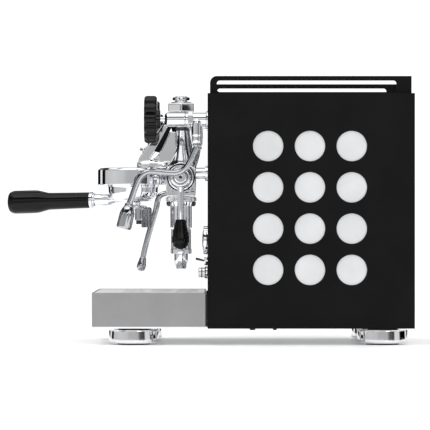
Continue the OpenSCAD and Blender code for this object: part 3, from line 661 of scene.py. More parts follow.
@dataclass
class Feet:
    """Four chromed feet with rubber pads and black spacers.

    Attributes:
        pad_radius: radius of the rubber pads, in millimetres.
        spacer_radius: radius of the spacers under the base.
        spacer_height: height of the spacers.
    """

    pad_radius: float = 22.0
    spacer_radius: float = 20.0
    spacer_height: float = 2.0

    def build(self) -> None:
        """Build the cups and the rubbers from the CAD box of the foot cups."""
        low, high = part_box("foot_cups")
        low, high = np.asarray(low) / MM, np.asarray(high) / MM
        base = edge("base_frame", 2, 0)
        radius = edge("foot_cups", 0, 1) - self._x()
        top = base - self.spacer_height
        pad_r, spacer_r, pad_top = self.pad_radius, self.spacer_radius, low[2] + 0.2
        cups, rubbers = [], []
        cup = turned(rounded([(0, low[2]), (radius - 1.6, low[2]), (radius, low[2] + 1.6),
                              (radius - 0.8, top - 1.6), (radius - 1.4, top), (radius - 12, top),
                              (0, top)], 0.8), 96)
        pad = turned(rounded([(0, 0), (pad_r - 1, 0), (pad_r, 1.0), (pad_r, pad_top), (0, pad_top)], 0.5),
                     64)
        spacer = turned(rounded([(0, top - 0.1), (spacer_r, top - 0.1), (spacer_r, base), (0, base)],
                                0.4), 64)
        for x in (-self._x(), self._x()):
            for y in (low[1] + radius, high[1] - radius):
                place = np.array([x, y, 0]) * MM
                cups.append(cup.at(place))
                rubbers.extend([pad.at(place), spacer.at(place)])
        publish("feet_chromed", merge(cups), FOOT_CHROME, "chassis", ["foot_cups"])
        publish("feet_rubbers", merge(rubbers), RUBBER, "chassis", ["foot_rubbers"])

    def _x(self) -> float:
        """Return the feet's distance from the middle plane, from the box of one side's feet."""
        return edge("foot_rubbers", 0, 1) - self.pad_radius


@dataclass
class BrewGroup:
    """Lever-operated brew group: casting, cap, bell, infusion chamber, nozzle, screws and plug.

    Attributes:
        y: column axis, in millimetres.
        z: height of the lever's pivot.
        brew_y: axis of the bell.
    """

    y: float = field(default_factory=lambda: float(joint_place("brew_lever_lift")[1]))
    z: float = field(default_factory=lambda: float(joint_place("brew_lever_lift")[2]))
    brew_y: float = field(default_factory=lambda: float(joint_place("portafilter_twist")[1]))
    arm_corners: Sequence[tuple[float, float]] = ((-13, 79), (-19, 79), (-25.6, 72), (-57.4, 25.6),
                                                  (-57.8, 20), (-42, 20), (-42, 24.7), (-34.3, 35.4),
                                                  (-15.9, 69.2), (-13, 72))
    web_corners: Sequence[tuple[float, float]] = (
        (-7, 62), (-15.2, 62), (-26.6, 38.0), (-29, 35.5), (-30, 22), (-7, 20))
    ridge_corners: Sequence[tuple[float, float]] = (
        (-24, 38.5), (-27, 36.6), (-33.5, 28), (-41, 23.5), (-40, 19), (-14, 19), (-19, 26))
    # Outline of a black sheet between the sloping arm and the column: painted shade for the dark band in
    # the casting's fillet.
    painted_shade_corners: Sequence[tuple[float, float]] = (
        (-12, 71), (-17.0, 69.3), (-36.0, 35.6), (-29.8, 34.2), (-26.2, 38.5), (-14.2, 66.8), (-10, 68))

    def arm_place(self, dy: float, dz: float) -> tuple[float, float]:
        """Return a corner of the side view, given from the column's axis and the pivot's height."""
        return self.y + dy, self.z + dz

    def build(self) -> None:
        """Build every piece of the group."""
        self.casting()
        self.cam_housing()
        self.cap()
        self.bell()
        self.chamber()
        self.nozzle()
        self.screws()
        self.plug()

    def casting(self) -> None:
        """Column, sloping arm and foot, fused into one casting, with a black sheet along the arm's inner
        edge and a dark ring in the neck, both painted shade.
        """
        y, z = self.y, self.z
        column = lofted([(0, y, z - 4, 19, 20.5, 3.2), (0, y, z + 14, 19.5, 20.5, 2.8),
                         (0, y, z + 24, 17.5, 18.5, 2.3), (0, y, z + 44, 14.6, 14.9, 2.0),
                         (0, y, z + 63, 11.8, 11.8, 2.0), (0, y, z + 68, 12.0, 12.0, 2.0),
                         (0, y, z + 72, 14.6, 14.6, 2.0), (0, y, z + 76, 17.2, 17.2, 2.0),
                         (0, y, z + 88.5, 17.4, 17.4, 2.0)])
        arm = prism([self.arm_place(*corner) for corner in self.arm_corners], -12.5, 12.5)
        web = prism([self.arm_place(*corner) for corner in self.web_corners], -14.5, 14.5)
        ridge = prism([self.arm_place(*corner) for corner in self.ridge_corners], -11, 11)
        foot = lofted([(0, self.brew_y + 28.5, z + 14.2, 16.5, 23.5, 3.5),
                       (0, self.brew_y + 28, z + 19, 16, 23.0, 3.5),
                       (0, self.brew_y + 27.5, z + 22.5, 13, 20.5, 3.0)])
        boss = turned(rounded([(0, 0), (12, 0), (12, 19), (0, 19)], 1.5)).moved(
            axis_matrix(Axis.Y), np.array([0, y, z + 75.5]) * MM)
        shade = prism([self.arm_place(*corner) for corner in self.painted_shade_corners], -14.9, 14.9)
        # Dark ring in the column's waist below the cap: painted shade.
        neck = self.ring(11.0, 12.7, z + 63.5, z + 68).at((0, y * MM, 0))
        publish("group_neck_painted_shade", neck, DARK_STEEL, "chassis", bevel=0.3)
        publish("group_arm_painted_shade", shade, BLACK_PAINT, "chassis", bevel=0.4)
        publish("group_casting", merge([column, arm, web, ridge, foot, boss]), CHROME, "chassis",
                ["group_body"], Shading.SMOOTH, fuse=0.8)

    def cam_housing(self) -> None:
        """Block, barrel and gland round the camshaft."""
        y, z = self.y, self.z
        block = [(y - 20.5, z - 12), (y - 19.3, z - 26.5), (y + 19.3, z - 26.5), (y + 20.5, z - 12),
                 (y + 20.5, z + 12), (y + 14, z + 16), (y - 14, z + 16), (y - 20.5, z + 12)]
        publish("cam_block", prism(block, -19, 19), CHROME, "chassis", bevel=2.2)
        barrel = turned(rounded([(0, -24), (17.5, -24), (19.5, -22), (19.5, 27.5), (17.6, 29.6),
                                 (15.4, 30), (15.4, 31.2), (14, 31.4), (14, 35.8), (12.6, 37), (5.3, 37),
                                 (5.3, 36), (0, 36)], 0.7), 96)
        publish("cam_barrel", barrel.moved(axis_matrix(Axis.X), np.array([0, y, z]) * MM), CHROME,
                "chassis")
        # Black rings at the barrel's shoulder and at the gland's step: painted shade that darkens these
        # steps.
        step_shade_rings = [self.ring(17.3, 18.9, 29.4, 30.15), self.ring(14.2, 15.0, 31.2, 31.45)]
        publish("cam_step_shade", merge(step_shade_rings).moved(axis_matrix(Axis.X), np.array([0, y, z]) * MM), RUBBER,
                "chassis")
        # Three thin black slabs on the block's side, drawn as sloping grooves: painted shade in the
        # grooves.
        grooves = [prism([(y + 5.5, z - 13.4 - 3.4 * i), (y + 15.5 + 1.2 * i, z - 11.4 - 3.4 * i),
                          (y + 15.5 + 1.2 * i, z - 12.5 - 3.4 * i), (y + 5.5, z - 14.6 - 3.4 * i)], 18.4,
                         19.12) for i in range(3)]
        publish("cam_block_groove_shade", merge(grooves), BLACK_PAINT, "chassis")
        ribs = [prism([(y + side * 13.4, z - 9.5), (y + side * 16.2, z - 8.5), (y + side * 12.0, z - 25),
                       (y + side * 9.6, z - 25)], 18, 21.2) for side in (-1, 1)]
        publish("cam_block_ribs", merge(ribs), CHROME, "chassis", bevel=0.9)

    @staticmethod
    def ring(inner: float, outer: float, low: float, high: float) -> Surface:
        """Return a flat ring about its own z axis, from radii and heights in millimetres."""
        return turned(np.array([(inner, low), (outer, low), (outer, high), (inner, high), (inner, low)]),
                      72)

    def cap(self) -> None:
        """Hexagon head with a waist and a round plug on top."""
        base = self.z + 88.5
        hexagon = prism(regular(6, 40.4), base, base + 12.4, Axis.Z).at((0, self.y * MM, 0))
        publish("group_cap_hexagon", hexagon, CHROME, "chassis", ["group_cap"], bevel=2.2)
        plug = turned(rounded([(0, 11), (14.6, 11), (14.0, 13.6), (9.4, 14.4), (8.0, 15.4), (8.6, 17.0),
                               (9.2, 20.4), (7.5, 21.7), (4, 22), (0, 22)], 0.7), 72)
        publish("group_cap_plug", plug.at((0, self.y * MM, base * MM)), CHROME, "chassis")
        # Two black balls at the sides of the plug's waist: painted shade where the waist looks dark at
        # both sides.
        ball = turned(rounded([(0, -2.3), (1.7, -1.7), (2.3, 0), (1.7, 1.7), (0, 2.3)], 0.8, 4), 24)
        balls = [ball.at((0, (self.y + side * 9.6) * MM, (base + 18.4) * MM)) for side in (-1, 1)]
        publish("group_cap_waist_shade", merge(balls), RESIN, "chassis", shading=Shading.SMOOTH)

    def bell(self) -> None:
        """Bell with a flat rim, a groove round its wall and a shallow cone on top."""
        z0, z1 = edge("group_bell", 2, 0), edge("group_bell", 2, 1)
        r = edge("group_bell", 0, 1)
        lip = 36.3
        profile = rounded([(0, z1), (18, z1 - 0.1), (30, z1 - 0.5), (r - 3, z1 - 1.6), (r, z1 - 4.2),
                           (r, z0 + 0.6), (r - 0.6, z0), (lip, z0), (lip, z0 + 4), (42.4, z0 + 4),
                           (42.4, z0 + 11.9), (37.2, z0 + 11.9), (37.2, z1 - 5), (0, z1 - 5)], 0.9)
        publish("group_bell_turned", turned(profile, 128).at((0, self.brew_y * MM, 0)), CHROME, "chassis",
                ["group_bell"])

    def chamber(self) -> None:
        """Lower infusion chamber with its oval flange and lock ring."""
        top = edge("infusion_chamber", 2, 1)
        flange = turned(rounded([(0, -6), (12.6, -6), (12.6, 0), (0, 0)], 0.9), 72)
        stretch = np.diag([0.93, 1.66, 1.0])
        flange = flange.moved(stretch, (0, 0, 0))
        body = turned(rounded([(0, -5.5), (16.6, -5.5), (15.4, -9.8), (14.6, -12), (14.6, -41.5),
                               (13.4, -43.4), (13.6, -45), (13.6, -69.8), (14.2, -70.6), (14.2, -77),
                               (12.4, -77), (0, -77)], 0.7), 96)
        place = (0, self.y * MM, top * MM)
        publish("infusion_chamber_turned", merge([flange, body]).at(place), CHROME, "chassis",
                ["infusion_chamber"])

    def nozzle(self) -> None:
        """Drain nozzle with flats that taper towards its mouth."""
        z0, z1 = edge("drain_nozzle", 2, 0), edge("drain_nozzle", 2, 1)
        profile = np.array([(3.5, z0 + 9), (3.5, z0), (6.4, z0), (7.0, z0 + 0.8), (9.1, z0 + 12),
                            (9.2, z1), (0, z1)])
        profile = np.vstack([[0, z0 + 9], profile])
        publish("drain_nozzle_faceted", turned(profile, 12).at((0, self.y * MM, 0)), CHROME, "chassis",
                ["drain_nozzle"], Shading.CREASED)

    def screws(self) -> None:
        """Acorn screws under the flange."""
        z1 = edge("infusion_chamber", 2, 1)
        acorn = turned(rounded([(0, -12.6), (2.4, -12.0), (3.6, -9.6), (3.6, -7.6), (3.0, -6), (0, -6)],
                               1.0), 32)
        heads = [acorn.at((0, (self.y + side * 16.5) * MM, z1 * MM)) for side in (-1, 1)]
        publish("group_acorn_screws", merge(heads), DARK_STEEL, "chassis", ["group_screws"])

    def plug(self) -> None:
        """Hexagon plug with a collar in the front of the arm."""
        low, high = (np.asarray(c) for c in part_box("group_plug"))
        direction = np.array([0, -0.86, 0.5])
        place = (low + high) / 2 - direction * 3.2 * MM
        hexagon = prism(regular(6, 8.4), 1.6, 6.0, Axis.Z)
        collar = turned(rounded([(0, -1), (4.6, -1), (4.6, 1.7), (0, 1.7)], 0.4), 32)
        publish("group_front_plug", merge([collar, hexagon]).moved(aim_matrix(direction), place), CHROME,
                "chassis", ["group_plug"])


@dataclass
class BrewLever:
    """Lever on the camshaft: shaft, hub, rod and drop-shaped grip."""

    place: np.ndarray = field(default_factory=lambda: joint_place("brew_lever_lift"))

    def build(self) -> None:
        """Build the chromed lever and its black grip."""
        x, y, z = self.place
        end = edge("lever_grip", 2, 0)
        shaft = turned(rounded([(0, -8), (5, -8), (5, x - 7), (0, x - 7)], 0.5), 48)
        hub = turned(rounded([(0, x - 7), (12.4, x - 7), (13.7, x - 5.4), (13.7, x + 4.6),
                              (12.2, x + 6.6), (10.6, x + 6.8), (9.6, x + 5.8), (8.6, x + 6.2),
                              (8.6, x + 9), (7.4, x + 10), (2.2, x + 10), (1.9, x + 8.6), (0, x + 8.6)],
                             0.6), 96)
        origin = np.array([0, y, z]) * MM
        rod = turned(rounded([(0, end + 27), (4.3, end + 27), (4.3, z - 20), (5.2, z - 11), (5.2, z - 8),
                              (0, z - 8)], 0.8), 48).at((x * MM, y * MM, 0))
        chromed = merge([merge([shaft, hub]).moved(axis_matrix(Axis.X), origin), rod])
        publish("brew_lever_chromed", chromed, CHROME, "brew_lever", ["brew_lever"])
        # Black ring in the groove round the hub's end cap and a black dot in its centre recess: painted
        # shade.
        bands = [BrewGroup.ring(8.55, 9.3, x + 5.9, x + 6.4), BrewGroup.ring(0, 1.7, x + 8.6, x + 9.0)]
        publish("brew_lever_groove_shade", merge(bands).moved(axis_matrix(Axis.X), origin), RUBBER, "brew_lever")
        drop = turned(rounded([(0, 0), (4.5, 0.7), (8.6, 3.2), (11.3, 7.4), (12, 11.6), (11.7, 16),
                               (10.6, 22), (8.8, 30), (7.4, 36.5), (6.7, 39.6), (5.6, 40.4), (0, 40.4)],
                              3.0, 5), 72)
        publish("brew_lever_grip", drop.at((x * MM, y * MM, end * MM)), RESIN, "brew_lever",
                ["lever_grip"], Shading.SMOOTH)


@dataclass
class Portafilter:
    """Portafilter: bowl with ears, neck, ferrule, handle and double spout.

    Attributes:
        centre: brewing axis, in millimetres.
        handle_turn: angle of the handle from straight ahead, in degrees.
        drop: fall of the handle, in degrees.
    """

    centre: np.ndarray = field(default_factory=lambda: joint_place("portafilter_twist") * np.array([1, 1,
                                                                                                    0]))
    handle_turn: float = 10.0
    drop: float = 1.5
    bowl_radius: float = 35.0
    spout_x: float = 15.0
    spout_y: float = 14.0

    def build(self) -> None:
        """Build all its pieces in place."""
        self.bowl_z = edge("portafilter_body", 2, 0) + 6
        self.rim_z = edge("portafilter_body", 2, 1)
        self.handle_z = self.bowl_z + 3.5
        self.bowl()
        self.handle()
        self.spout()

    def placed(self, part: Surface) -> Surface:
        """Return a part, drawn with its handle towards -y, turned and moved to the brewing axis."""
        return part.moved(turn_z(-self.handle_turn), self.centre * MM)

    def along_handle(self, part: Surface, distance: float) -> Surface:
        """Return a turned part laid along the handle's axis at a distance from the bowl's axis."""
        a = math.radians(self.drop)
        direction = np.array([0, -math.cos(a), -math.sin(a)])
        place = np.array([0, 0, self.handle_z]) + direction * distance
        return self.placed(part.moved(aim_matrix(direction), place * MM))

    def bowl(self) -> None:
        """Bowl with a rolled rim, its two ears and the neck that carries the handle."""
        r, b, t = self.bowl_radius, self.bowl_z, self.rim_z
        profile = rounded([(0, b - 6), (8, b - 6), (9.6, b - 5), (10, b - 0.6), (13, b),
                           (r - 14, b + 0.2), (r - 7.5, b + 2), (r - 3.6, b + 6), (r - 1.8, b + 12),
                           (r - 1.2, b + 20), (r, b + 22.5), (r, t), (r - 1.7, t), (r - 1.7, t - 1.5),
                           (r - 5, t - 1.8), (r - 6, b + 12), (r - 10, b + 5), (0, b + 5)], 1.6)
        wall = turned(profile, 128)
        ears = [prism([(s * 32, -7), (s * 41.8, -6.2), (s * 41.8, 6.2), (s * 32, 7)], t - 6.2, t - 0.3,
                      Axis.Z) for s in (-1, 1)]
        neck = turned(rounded([(0, -8), (3.4, -8), (4.6, 2.5), (8.1, 10), (8.1, 29.4), (9.0, 30),
                               (0, 30)], 0.9), 64)
        publish("portafilter_bowl", self.placed(wall), CHROME, "portafilter", ["portafilter_body"])
        publish("portafilter_ears", self.placed(merge(ears)), CHROME, "portafilter", bevel=0.9)
        publish("portafilter_neck", self.along_handle(neck, r - 12), CHROME, "portafilter")

    def handle(self) -> None:
        """Chromed ferrule and black turned handle with a swelling end."""
        start = self.bowl_radius + 18
        ferrule = turned(rounded([(0, 0), (8.9, 0), (9.4, 1.2), (9.4, 2.2), (11.2, 3.0), (11.2, 7),
                                  (0, 7)], 0.5), 72)
        publish("handle_ferrule_turned", self.along_handle(ferrule, start), CHROME, "portafilter",
                ["handle_ferrule"])
        grip = turned(rounded([(0, 0.05), (10.2, 0.05), (10.8, 0.8), (11.0, 20), (11.5, 50), (11.7, 57.5),
                               (13.4, 64), (15.2, 71), (15.7, 75.5), (15.8, 90), (15.8, 105.5),
                               (13.4, 111.6), (7.0, 113.8), (0, 114)], 2.2, 5), 96)
        publish("handle_grip", self.along_handle(grip, start + 7), RESIN, "portafilter",
                ["portafilter_handle"], Shading.SMOOTH)

    def spout(self) -> None:
        """Double spout: a threaded stem, two arms and two open-mouthed chutes."""
        b = self.bowl_z
        stem = turned(rounded([(0, b - 17), (6.6, b - 17), (7.2, b - 15), (7.2, b - 10.5), (9, b - 10),
                               (9, b - 6.2), (0, b - 6.2)], 0.6), 48)
        publish("spout_stem", self.placed(stem), CHROME, "portafilter", ["double_spout"])
        for side, name in ((-1, "left"), (1, "right")):
            x, y = side * self.spout_x, self.spout_y
            path = spline([[side * 2, 1, b - 13], [x * 0.5, y * 0.5, b - 11],
                           [x * 0.85, y * 0.85, b - 11.6], [x, y, b - 15.4]], 8)
            arm = swept(path * MM, np.interp(np.linspace(0, 1, len(path)), [0, 0.5, 1],
                                             [5.4, 6.2, 6.6]) * MM, segments=40)
            cup = turned(rounded([(0, b - 7.2), (6.2, b - 7.5), (8.3, b - 9.4), (8.5, b - 12),
                                  (8.5, b - 25.4), (7.3, b - 25.4), (7.3, b - 16), (0, b - 16)], 0.9),
                         64).at((x * MM, y * MM, 0))
            arc = [math.radians(a) for a in np.linspace(14, 166, 24)]
            outline = [(x + 8.5 * math.cos(a), y + 8.5 * math.sin(a)) for a in arc]
            outline += [(x + 7.2 * math.cos(a), y + 7.2 * math.sin(a)) for a in reversed(arc)]
            chute = prism(outline, b - 35, b - 24.3, Axis.Z)
            publish(f"spout_arm_{name}", self.placed(arm), CHROME, "portafilter", shading=Shading.SMOOTH)
            publish(f"spout_cup_{name}", self.placed(merge([cup, chute])), SHADED_TUBE_CHROME, "portafilter")
            # Black plastic cylinder inside each cup and chute: painted shade for the dark inside of the
            # spout's mouths.
            nozzle = turned(rounded([(0, b - 16.2), (5.2, b - 16.2), (5.2, b - 30.6), (0, b - 30.6)],
                                    0.6), 40)
            publish(f"spout_mouth_shade_{name}", self.placed(nozzle.at((x * MM, (y - 1.6) * MM, 0))),
                    MATT_PLASTIC, "portafilter")


@dataclass
class ValveSide:
    """One valve with its knob, swivel socket, wand and tip.

    Attributes:
        side: 1 for the machine's right and -1 for its left.
        kind: "water" or "steam", the prefix of its nodes and bodies.
        route: the wand's centre line as (y, z below the valve), in millimetres.
        lobes: number of lobes round the knob.
        knob_radius: radius over the lobes.
        lobe_radius: radius of one lobe.
        lobe_depth: depth of the gaps between lobes.
    """

    side: int
    kind: str
    route: Sequence[tuple[float, float]]
    lobes: int = 12
    knob_radius: float = 31.4
    lobe_radius: float = 6.0
    lobe_depth: float = 4.0

    def build(self) -> None:
        """Build the valve, knob, wand and tip."""
        self.x = self.side * 95.0
        self.z = float(joint_place(f"{self.kind}_knob_turn")[2])
        swivel = joint_place(f"{self.kind}_wand_swivel")
        self.swivel_x, self.swivel_y = float(swivel[0]), float(swivel[1])
        self.valve()
        self.knob()
        self.wand()
        self.tip()

    def valve(self) -> None:
        """Bonnet, body, gland nut and the upright swivel socket."""
        barrel = turned(rounded([(0, 57), (3.7, 57), (6.8, 57), (9.0, 54.4), (9.7, 51.5), (9.7, 30.6),
                                 (8.6, 29.2), (8.6, 27.6), (9.0, 26.6), (9.0, 2.2), (11.4, 1.8),
                                 (11.4, -1.4), (9, -1.5), (9, -8), (0, -8)], 1.1), 72)
        barrel = barrel.moved(axis_matrix(Axis.MINUS_Y), np.array([self.x, 0, self.z]) * MM)
        hexagon = prism(regular(6, 21.6, 30), 19.6, 26.2, Axis.Z).moved(
            axis_matrix(Axis.MINUS_Y), np.array([self.x, 0, self.z]) * MM)
        publish(f"{self.kind}_valve_turned", barrel, CHROME, "chassis", [f"{self.kind}_valve"])
        publish(f"{self.kind}_valve_hexagon", hexagon, CHROME, "chassis", bevel=0.7)
        z = self.z
        socket = turned(rounded([(0, z + 1.6), (4.2, z + 1.0), (6.8, z - 1.8), (7.3, z - 5),
                                 (7.3, z - 20.6), (6.6, z - 22.6), (6.6, z - 28.2), (5.4, z - 32),
                                 (4.2, z - 32), (4.2, z - 30), (0, z - 30)], 1.2), 64)
        publish(f"{self.kind}_swivel_socket", socket.at((self.swivel_x * MM, self.swivel_y * MM, 0)),
                CHROME, "chassis")

    def knob(self) -> None:
        """Lobed knob: radius max(c cos a + sqrt(l^2 - c^2 sin^2 a), R - d) over a rounded rim."""
        depth, reach = 17.0, self.knob_radius
        profile = rounded([(0, 2.4), (10.5, 2.4), (11.5, 3.4), (reach * 0.62, 3.0), (reach * 0.72, 0.2),
                           (reach - 2.2, 0), (reach, 2.6), (reach, depth - 2.6), (reach - 2.2, depth),
                           (reach * 0.7, depth), (reach * 0.6, depth - 1.6), (13.2, depth - 1.4),
                           (12.6, depth + 4.4), (3.8, depth + 4.6), (3.8, depth - 2), (0, depth - 2)],
                          1.5, 4)

        def lobed(angle: np.ndarray, z: np.ndarray) -> np.ndarray:
            """Return the radius factor at an angle; only the outer part of the profile is lobed."""
            outer = np.clip((profile[:, 0][:, None] / reach - 0.60) / 0.25, 0, 1)
            step = 2 * math.pi / self.lobes
            off = np.abs((angle + step / 2) % step - step / 2)
            centre = reach - self.lobe_radius
            side = np.sqrt(np.maximum(self.lobe_radius ** 2 - (centre * np.sin(off)) ** 2, 0.0))
            edge_radius = np.maximum(centre * np.cos(off) + side, reach - self.lobe_depth)
            return 1 - (1 - edge_radius / reach) * outer + 0 * z

        low = edge(f"{self.kind}_knob", 1, 0)
        body = turned(profile, 288, lobed).moved(axis_matrix(Axis.Y),
                                                 np.array([self.x, low, self.z]) * MM)
        publish(f"{self.kind}_knob_lobed", body, KNOB_RESIN, f"{self.kind}_knob", [f"{self.kind}_knob"])
        badge = turned(rounded([(0, 0.9), (7.6, 0.9), (9.4, 1.6), (9.8, 2.6), (0, 2.6)], 0.5), 64)
        publish(f"{self.kind}_knob_cap", badge.moved(axis_matrix(Axis.Y),
                                                     np.array([self.x, low, self.z]) * MM), CHROME,
                f"{self.kind}_knob")

    def centre_line(self) -> np.ndarray:
        """Return the wand's smooth centre line in millimetres."""
        return spline([(self.swivel_x, y, self.z + dz) for y, dz in self.route], 10)

    def wand(self) -> None:
        """Bent tube with the nut that holds it in the socket."""
        path = self.centre_line()
        tube = swept(path * MM, np.full(len(path), 4.0 * MM))
        nut = turned(rounded([(0, self.z - 36.4), (4.6, self.z - 36.4), (5.7, self.z - 34.8),
                              (5.7, self.z - 32.4), (0, self.z - 32.4)], 0.5), 48)
        nut = nut.at((self.swivel_x * MM, self.swivel_y * MM, 0))
        publish(f"{self.kind}_wand_tube", merge([tube, nut]), SHADED_TUBE_CHROME, f"{self.kind}_wand",
                [f"{self.kind}_wand"])

    def tip(self) -> None:
        """Bulb tip of the steam wand, or fluted diffuser of the water wand."""
        path = self.centre_line()
        run = path[-1] - path[-2]
        if self.kind == "steam":
            shape = turned(rounded([(0, -2), (4.4, -2), (4.9, 1), (5.5, 5), (6.5, 9.2), (6.5, 12.5),
                                    (5.2, 16), (2.4, 17.4), (0, 17.5)], 1.8), 56)
            publish("steam_tip_bulb", shape.moved(aim_matrix(run), path[-1] * MM), SHADED_TUBE_CHROME, "steam_wand",
                    ["steam_tip"], Shading.SMOOTH)
            return
        profile = rounded([(0, -1.4), (5.4, -1.4), (6.0, 0), (6.2, 1.6), (5.8, 2.6), (8.0, 6.2),
                           (9.9, 11.5), (10.2, 14), (10.2, 30.5), (9.4, 32.6), (8.6, 33), (7.8, 32.4),
                           (7.6, 30), (0, 30)], 0.9)

        def fluted(angle: np.ndarray, z: np.ndarray) -> np.ndarray:
            """Return the radius factor: flat flutes over the lower body, fading out at its shoulder."""
            within = np.clip((z - 9) / 4, 0, 1) * np.clip((29.5 - z) / 2, 0, 1)
            return 1 - 0.09 * within * (1 - np.abs(np.cos(5 * angle)) ** 0.8)

        shape = turned(profile, 120, fluted)
        publish("water_tip_fluted", shape.moved(aim_matrix(run), path[-1] * MM), SHADED_TUBE_CHROME, "water_wand",
                ["water_tip"])


@dataclass
class FrontFittings:
    """Pressure gauge, power toggle and pilot lamp on the front panel.

    Attributes:
        ticks: number of scale marks on the dial.
        sweep: angle of the whole scale, in degrees.
        bat_tilt: tilt of the toggle's lever above level at rest, in degrees.
        switch_half: half the width and height of the switch's case, in millimetres.
    """

    ticks: int = 13
    sweep: float = 270.0
    bat_tilt: float = 14.0
    switch_half: tuple[float, float] = (8.0, 9.8)

    def build(self) -> None:
        """Build the bezel, dial marks, switch nut, bat lever and lamp."""
        gauge = middle("gauge_glass")
        place = np.array([gauge[0], 0, gauge[2]]) * MM
        bezel = turned(rounded([(0, -1.4), (17, -1.4), (17, 1.0), (16.7, 4.9), (17.4, 5.9), (18.4, 6),
                                (19, 4.8), (19, -1.4), (17.1, -1.6), (17.1, -27), (0, -27)], 0.6), 96)
        publish("gauge_bezel", bezel.moved(axis_matrix(Axis.MINUS_Y), place), CHROME, "chassis",
                ["gauge_case"])
        dome = turned(rounded([(0, 4.2), (16.4, 4.2), (16.4, 5.0), (13.5, 6.4), (8, 7.3), (0, 7.6)], 1.5),
                      72)
        publish("gauge_dome", dome.moved(axis_matrix(Axis.MINUS_Y), place), GLASS, "chassis",
                ["gauge_glass"], Shading.SMOOTH)
        self.marks(gauge)
        self.toggle()
        self.lamp()

    def marks(self, gauge: np.ndarray) -> None:
        """Scale marks round the dial, on its face."""
        face = edge("gauge_dial", 1, 0)
        strokes = []
        for i in range(self.ticks):
            a = math.radians(-self.sweep / 2 + self.sweep * i / (self.ticks - 1))
            long = i % 3 == 0
            r0, r1, half = (11.4 if long else 12.8), 15.0, (0.42 if long else 0.24)
            u, v = np.array([math.sin(a), math.cos(a)]), np.array([math.cos(a), -math.sin(a)])
            centre = np.array([gauge[0], gauge[2]])
            corners = [centre + u * r + v * h for r, h in ((r0, -half), (r1, -half), (r1, half),
                                                           (r0, half))]
            strokes.append(prism(corners, face - 0.12, face + 0.02, Axis.Y))
        publish("gauge_marks", merge(strokes), MATT_PLASTIC, "chassis")

    def toggle(self) -> None:
        """Hexagon nut, threaded bush, switch body and the bat-shaped lever."""
        pivot = joint_place("power_toggle_flip")
        place = np.array([pivot[0], 0, pivot[2]]) * MM
        bush = turned(rounded([(3.6, 0.4), (5.4, 0.4), (5.4, 5), (3.9, 5), (3.3, 2.4), (3.6, 0.4)], 0.2),
                      40)
        nut = prism(regular(6, 13), 0.2 - 1.6, 3.0, Axis.Z)
        ring = turned(rounded([(0, -1.5), (5.2, -1.5), (5.2, -12), (0, -12)], 0.3), 32)
        half_x, half_z = self.switch_half
        case = prism([(pivot[0] - half_x, pivot[2] - half_z), (pivot[0] + half_x, pivot[2] - half_z),
                      (pivot[0] + half_x, pivot[2] + half_z), (pivot[0] - half_x, pivot[2] + half_z)],
                     12, 34, Axis.Y)
        outer = merge([bush, ring]).moved(axis_matrix(Axis.MINUS_Y), place)
        publish("switch_bush", outer, CHROME, "chassis", ["switch_body"])
        publish("switch_nut", nut.moved(axis_matrix(Axis.MINUS_Y), place), CHROME, "chassis", bevel=0.4)
        publish("switch_case", case, MATT_PLASTIC, "chassis", bevel=0.8)
        a = math.radians(self.bat_tilt)
        bat = turned(rounded([(0, -3), (1.6, -2.6), (2.9, -0.6), (2.6, 1.2), (1.3, 2.6), (1.2, 4),
                              (1.7, 12.6), (1.6, 14.2), (0, 14.8)], 0.8), 32)
        publish("power_toggle_bat", bat.moved(aim_matrix((0, -math.cos(a), math.sin(a))), pivot * MM),
                DARK_STEEL, "power_toggle", ["power_toggle"], Shading.SMOOTH)

    def lamp(self) -> None:
        """Pilot lamp: chromed ring and a green domed lens."""
        low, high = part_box("pilot_lamp")
        x, z = (low[0] + high[0]) / 2 / MM, (low[2] + high[2]) / 2 / MM
        reach = -low[1] / MM
        ring = turned(rounded([(0, -16), (4, -16), (4, -1.5), (8, -1.5), (8, 2.6), (6.9, 3.6), (6.5, 3.8),
                               (6.5, reach - 0.8), (5.8, reach), (4.9, reach), (4.7, reach - 1),
                               (0, reach - 1)], 0.5), 64)
        place = np.array([x, 0, z]) * MM
        publish("pilot_ring", ring.moved(axis_matrix(Axis.MINUS_Y), place), CHROME, "chassis",
                ["pilot_lamp"])
        # Black rings at the shoulder behind the flange and in a thin band round the barrel: painted shade
        # that draws dark edges on the chrome ring.
        bands = merge([BrewGroup.ring(6.4, 8.1, 2.9, 3.9), BrewGroup.ring(6.4, 6.75, 7.2, 8.6)])
        publish("pilot_ring_shade", bands.moved(axis_matrix(Axis.MINUS_Y), place), MATT_PLASTIC, "chassis")
        lens = turned(rounded([(0, reach - 1.1), (4.6, reach - 1.1), (4.4, reach - 0.5),
                               (2.4, reach - 0.1), (0, reach)], 0.5), 40)
        publish("pilot_lens", lens.moved(axis_matrix(Axis.MINUS_Y), place), LAMP_GREEN, "chassis")


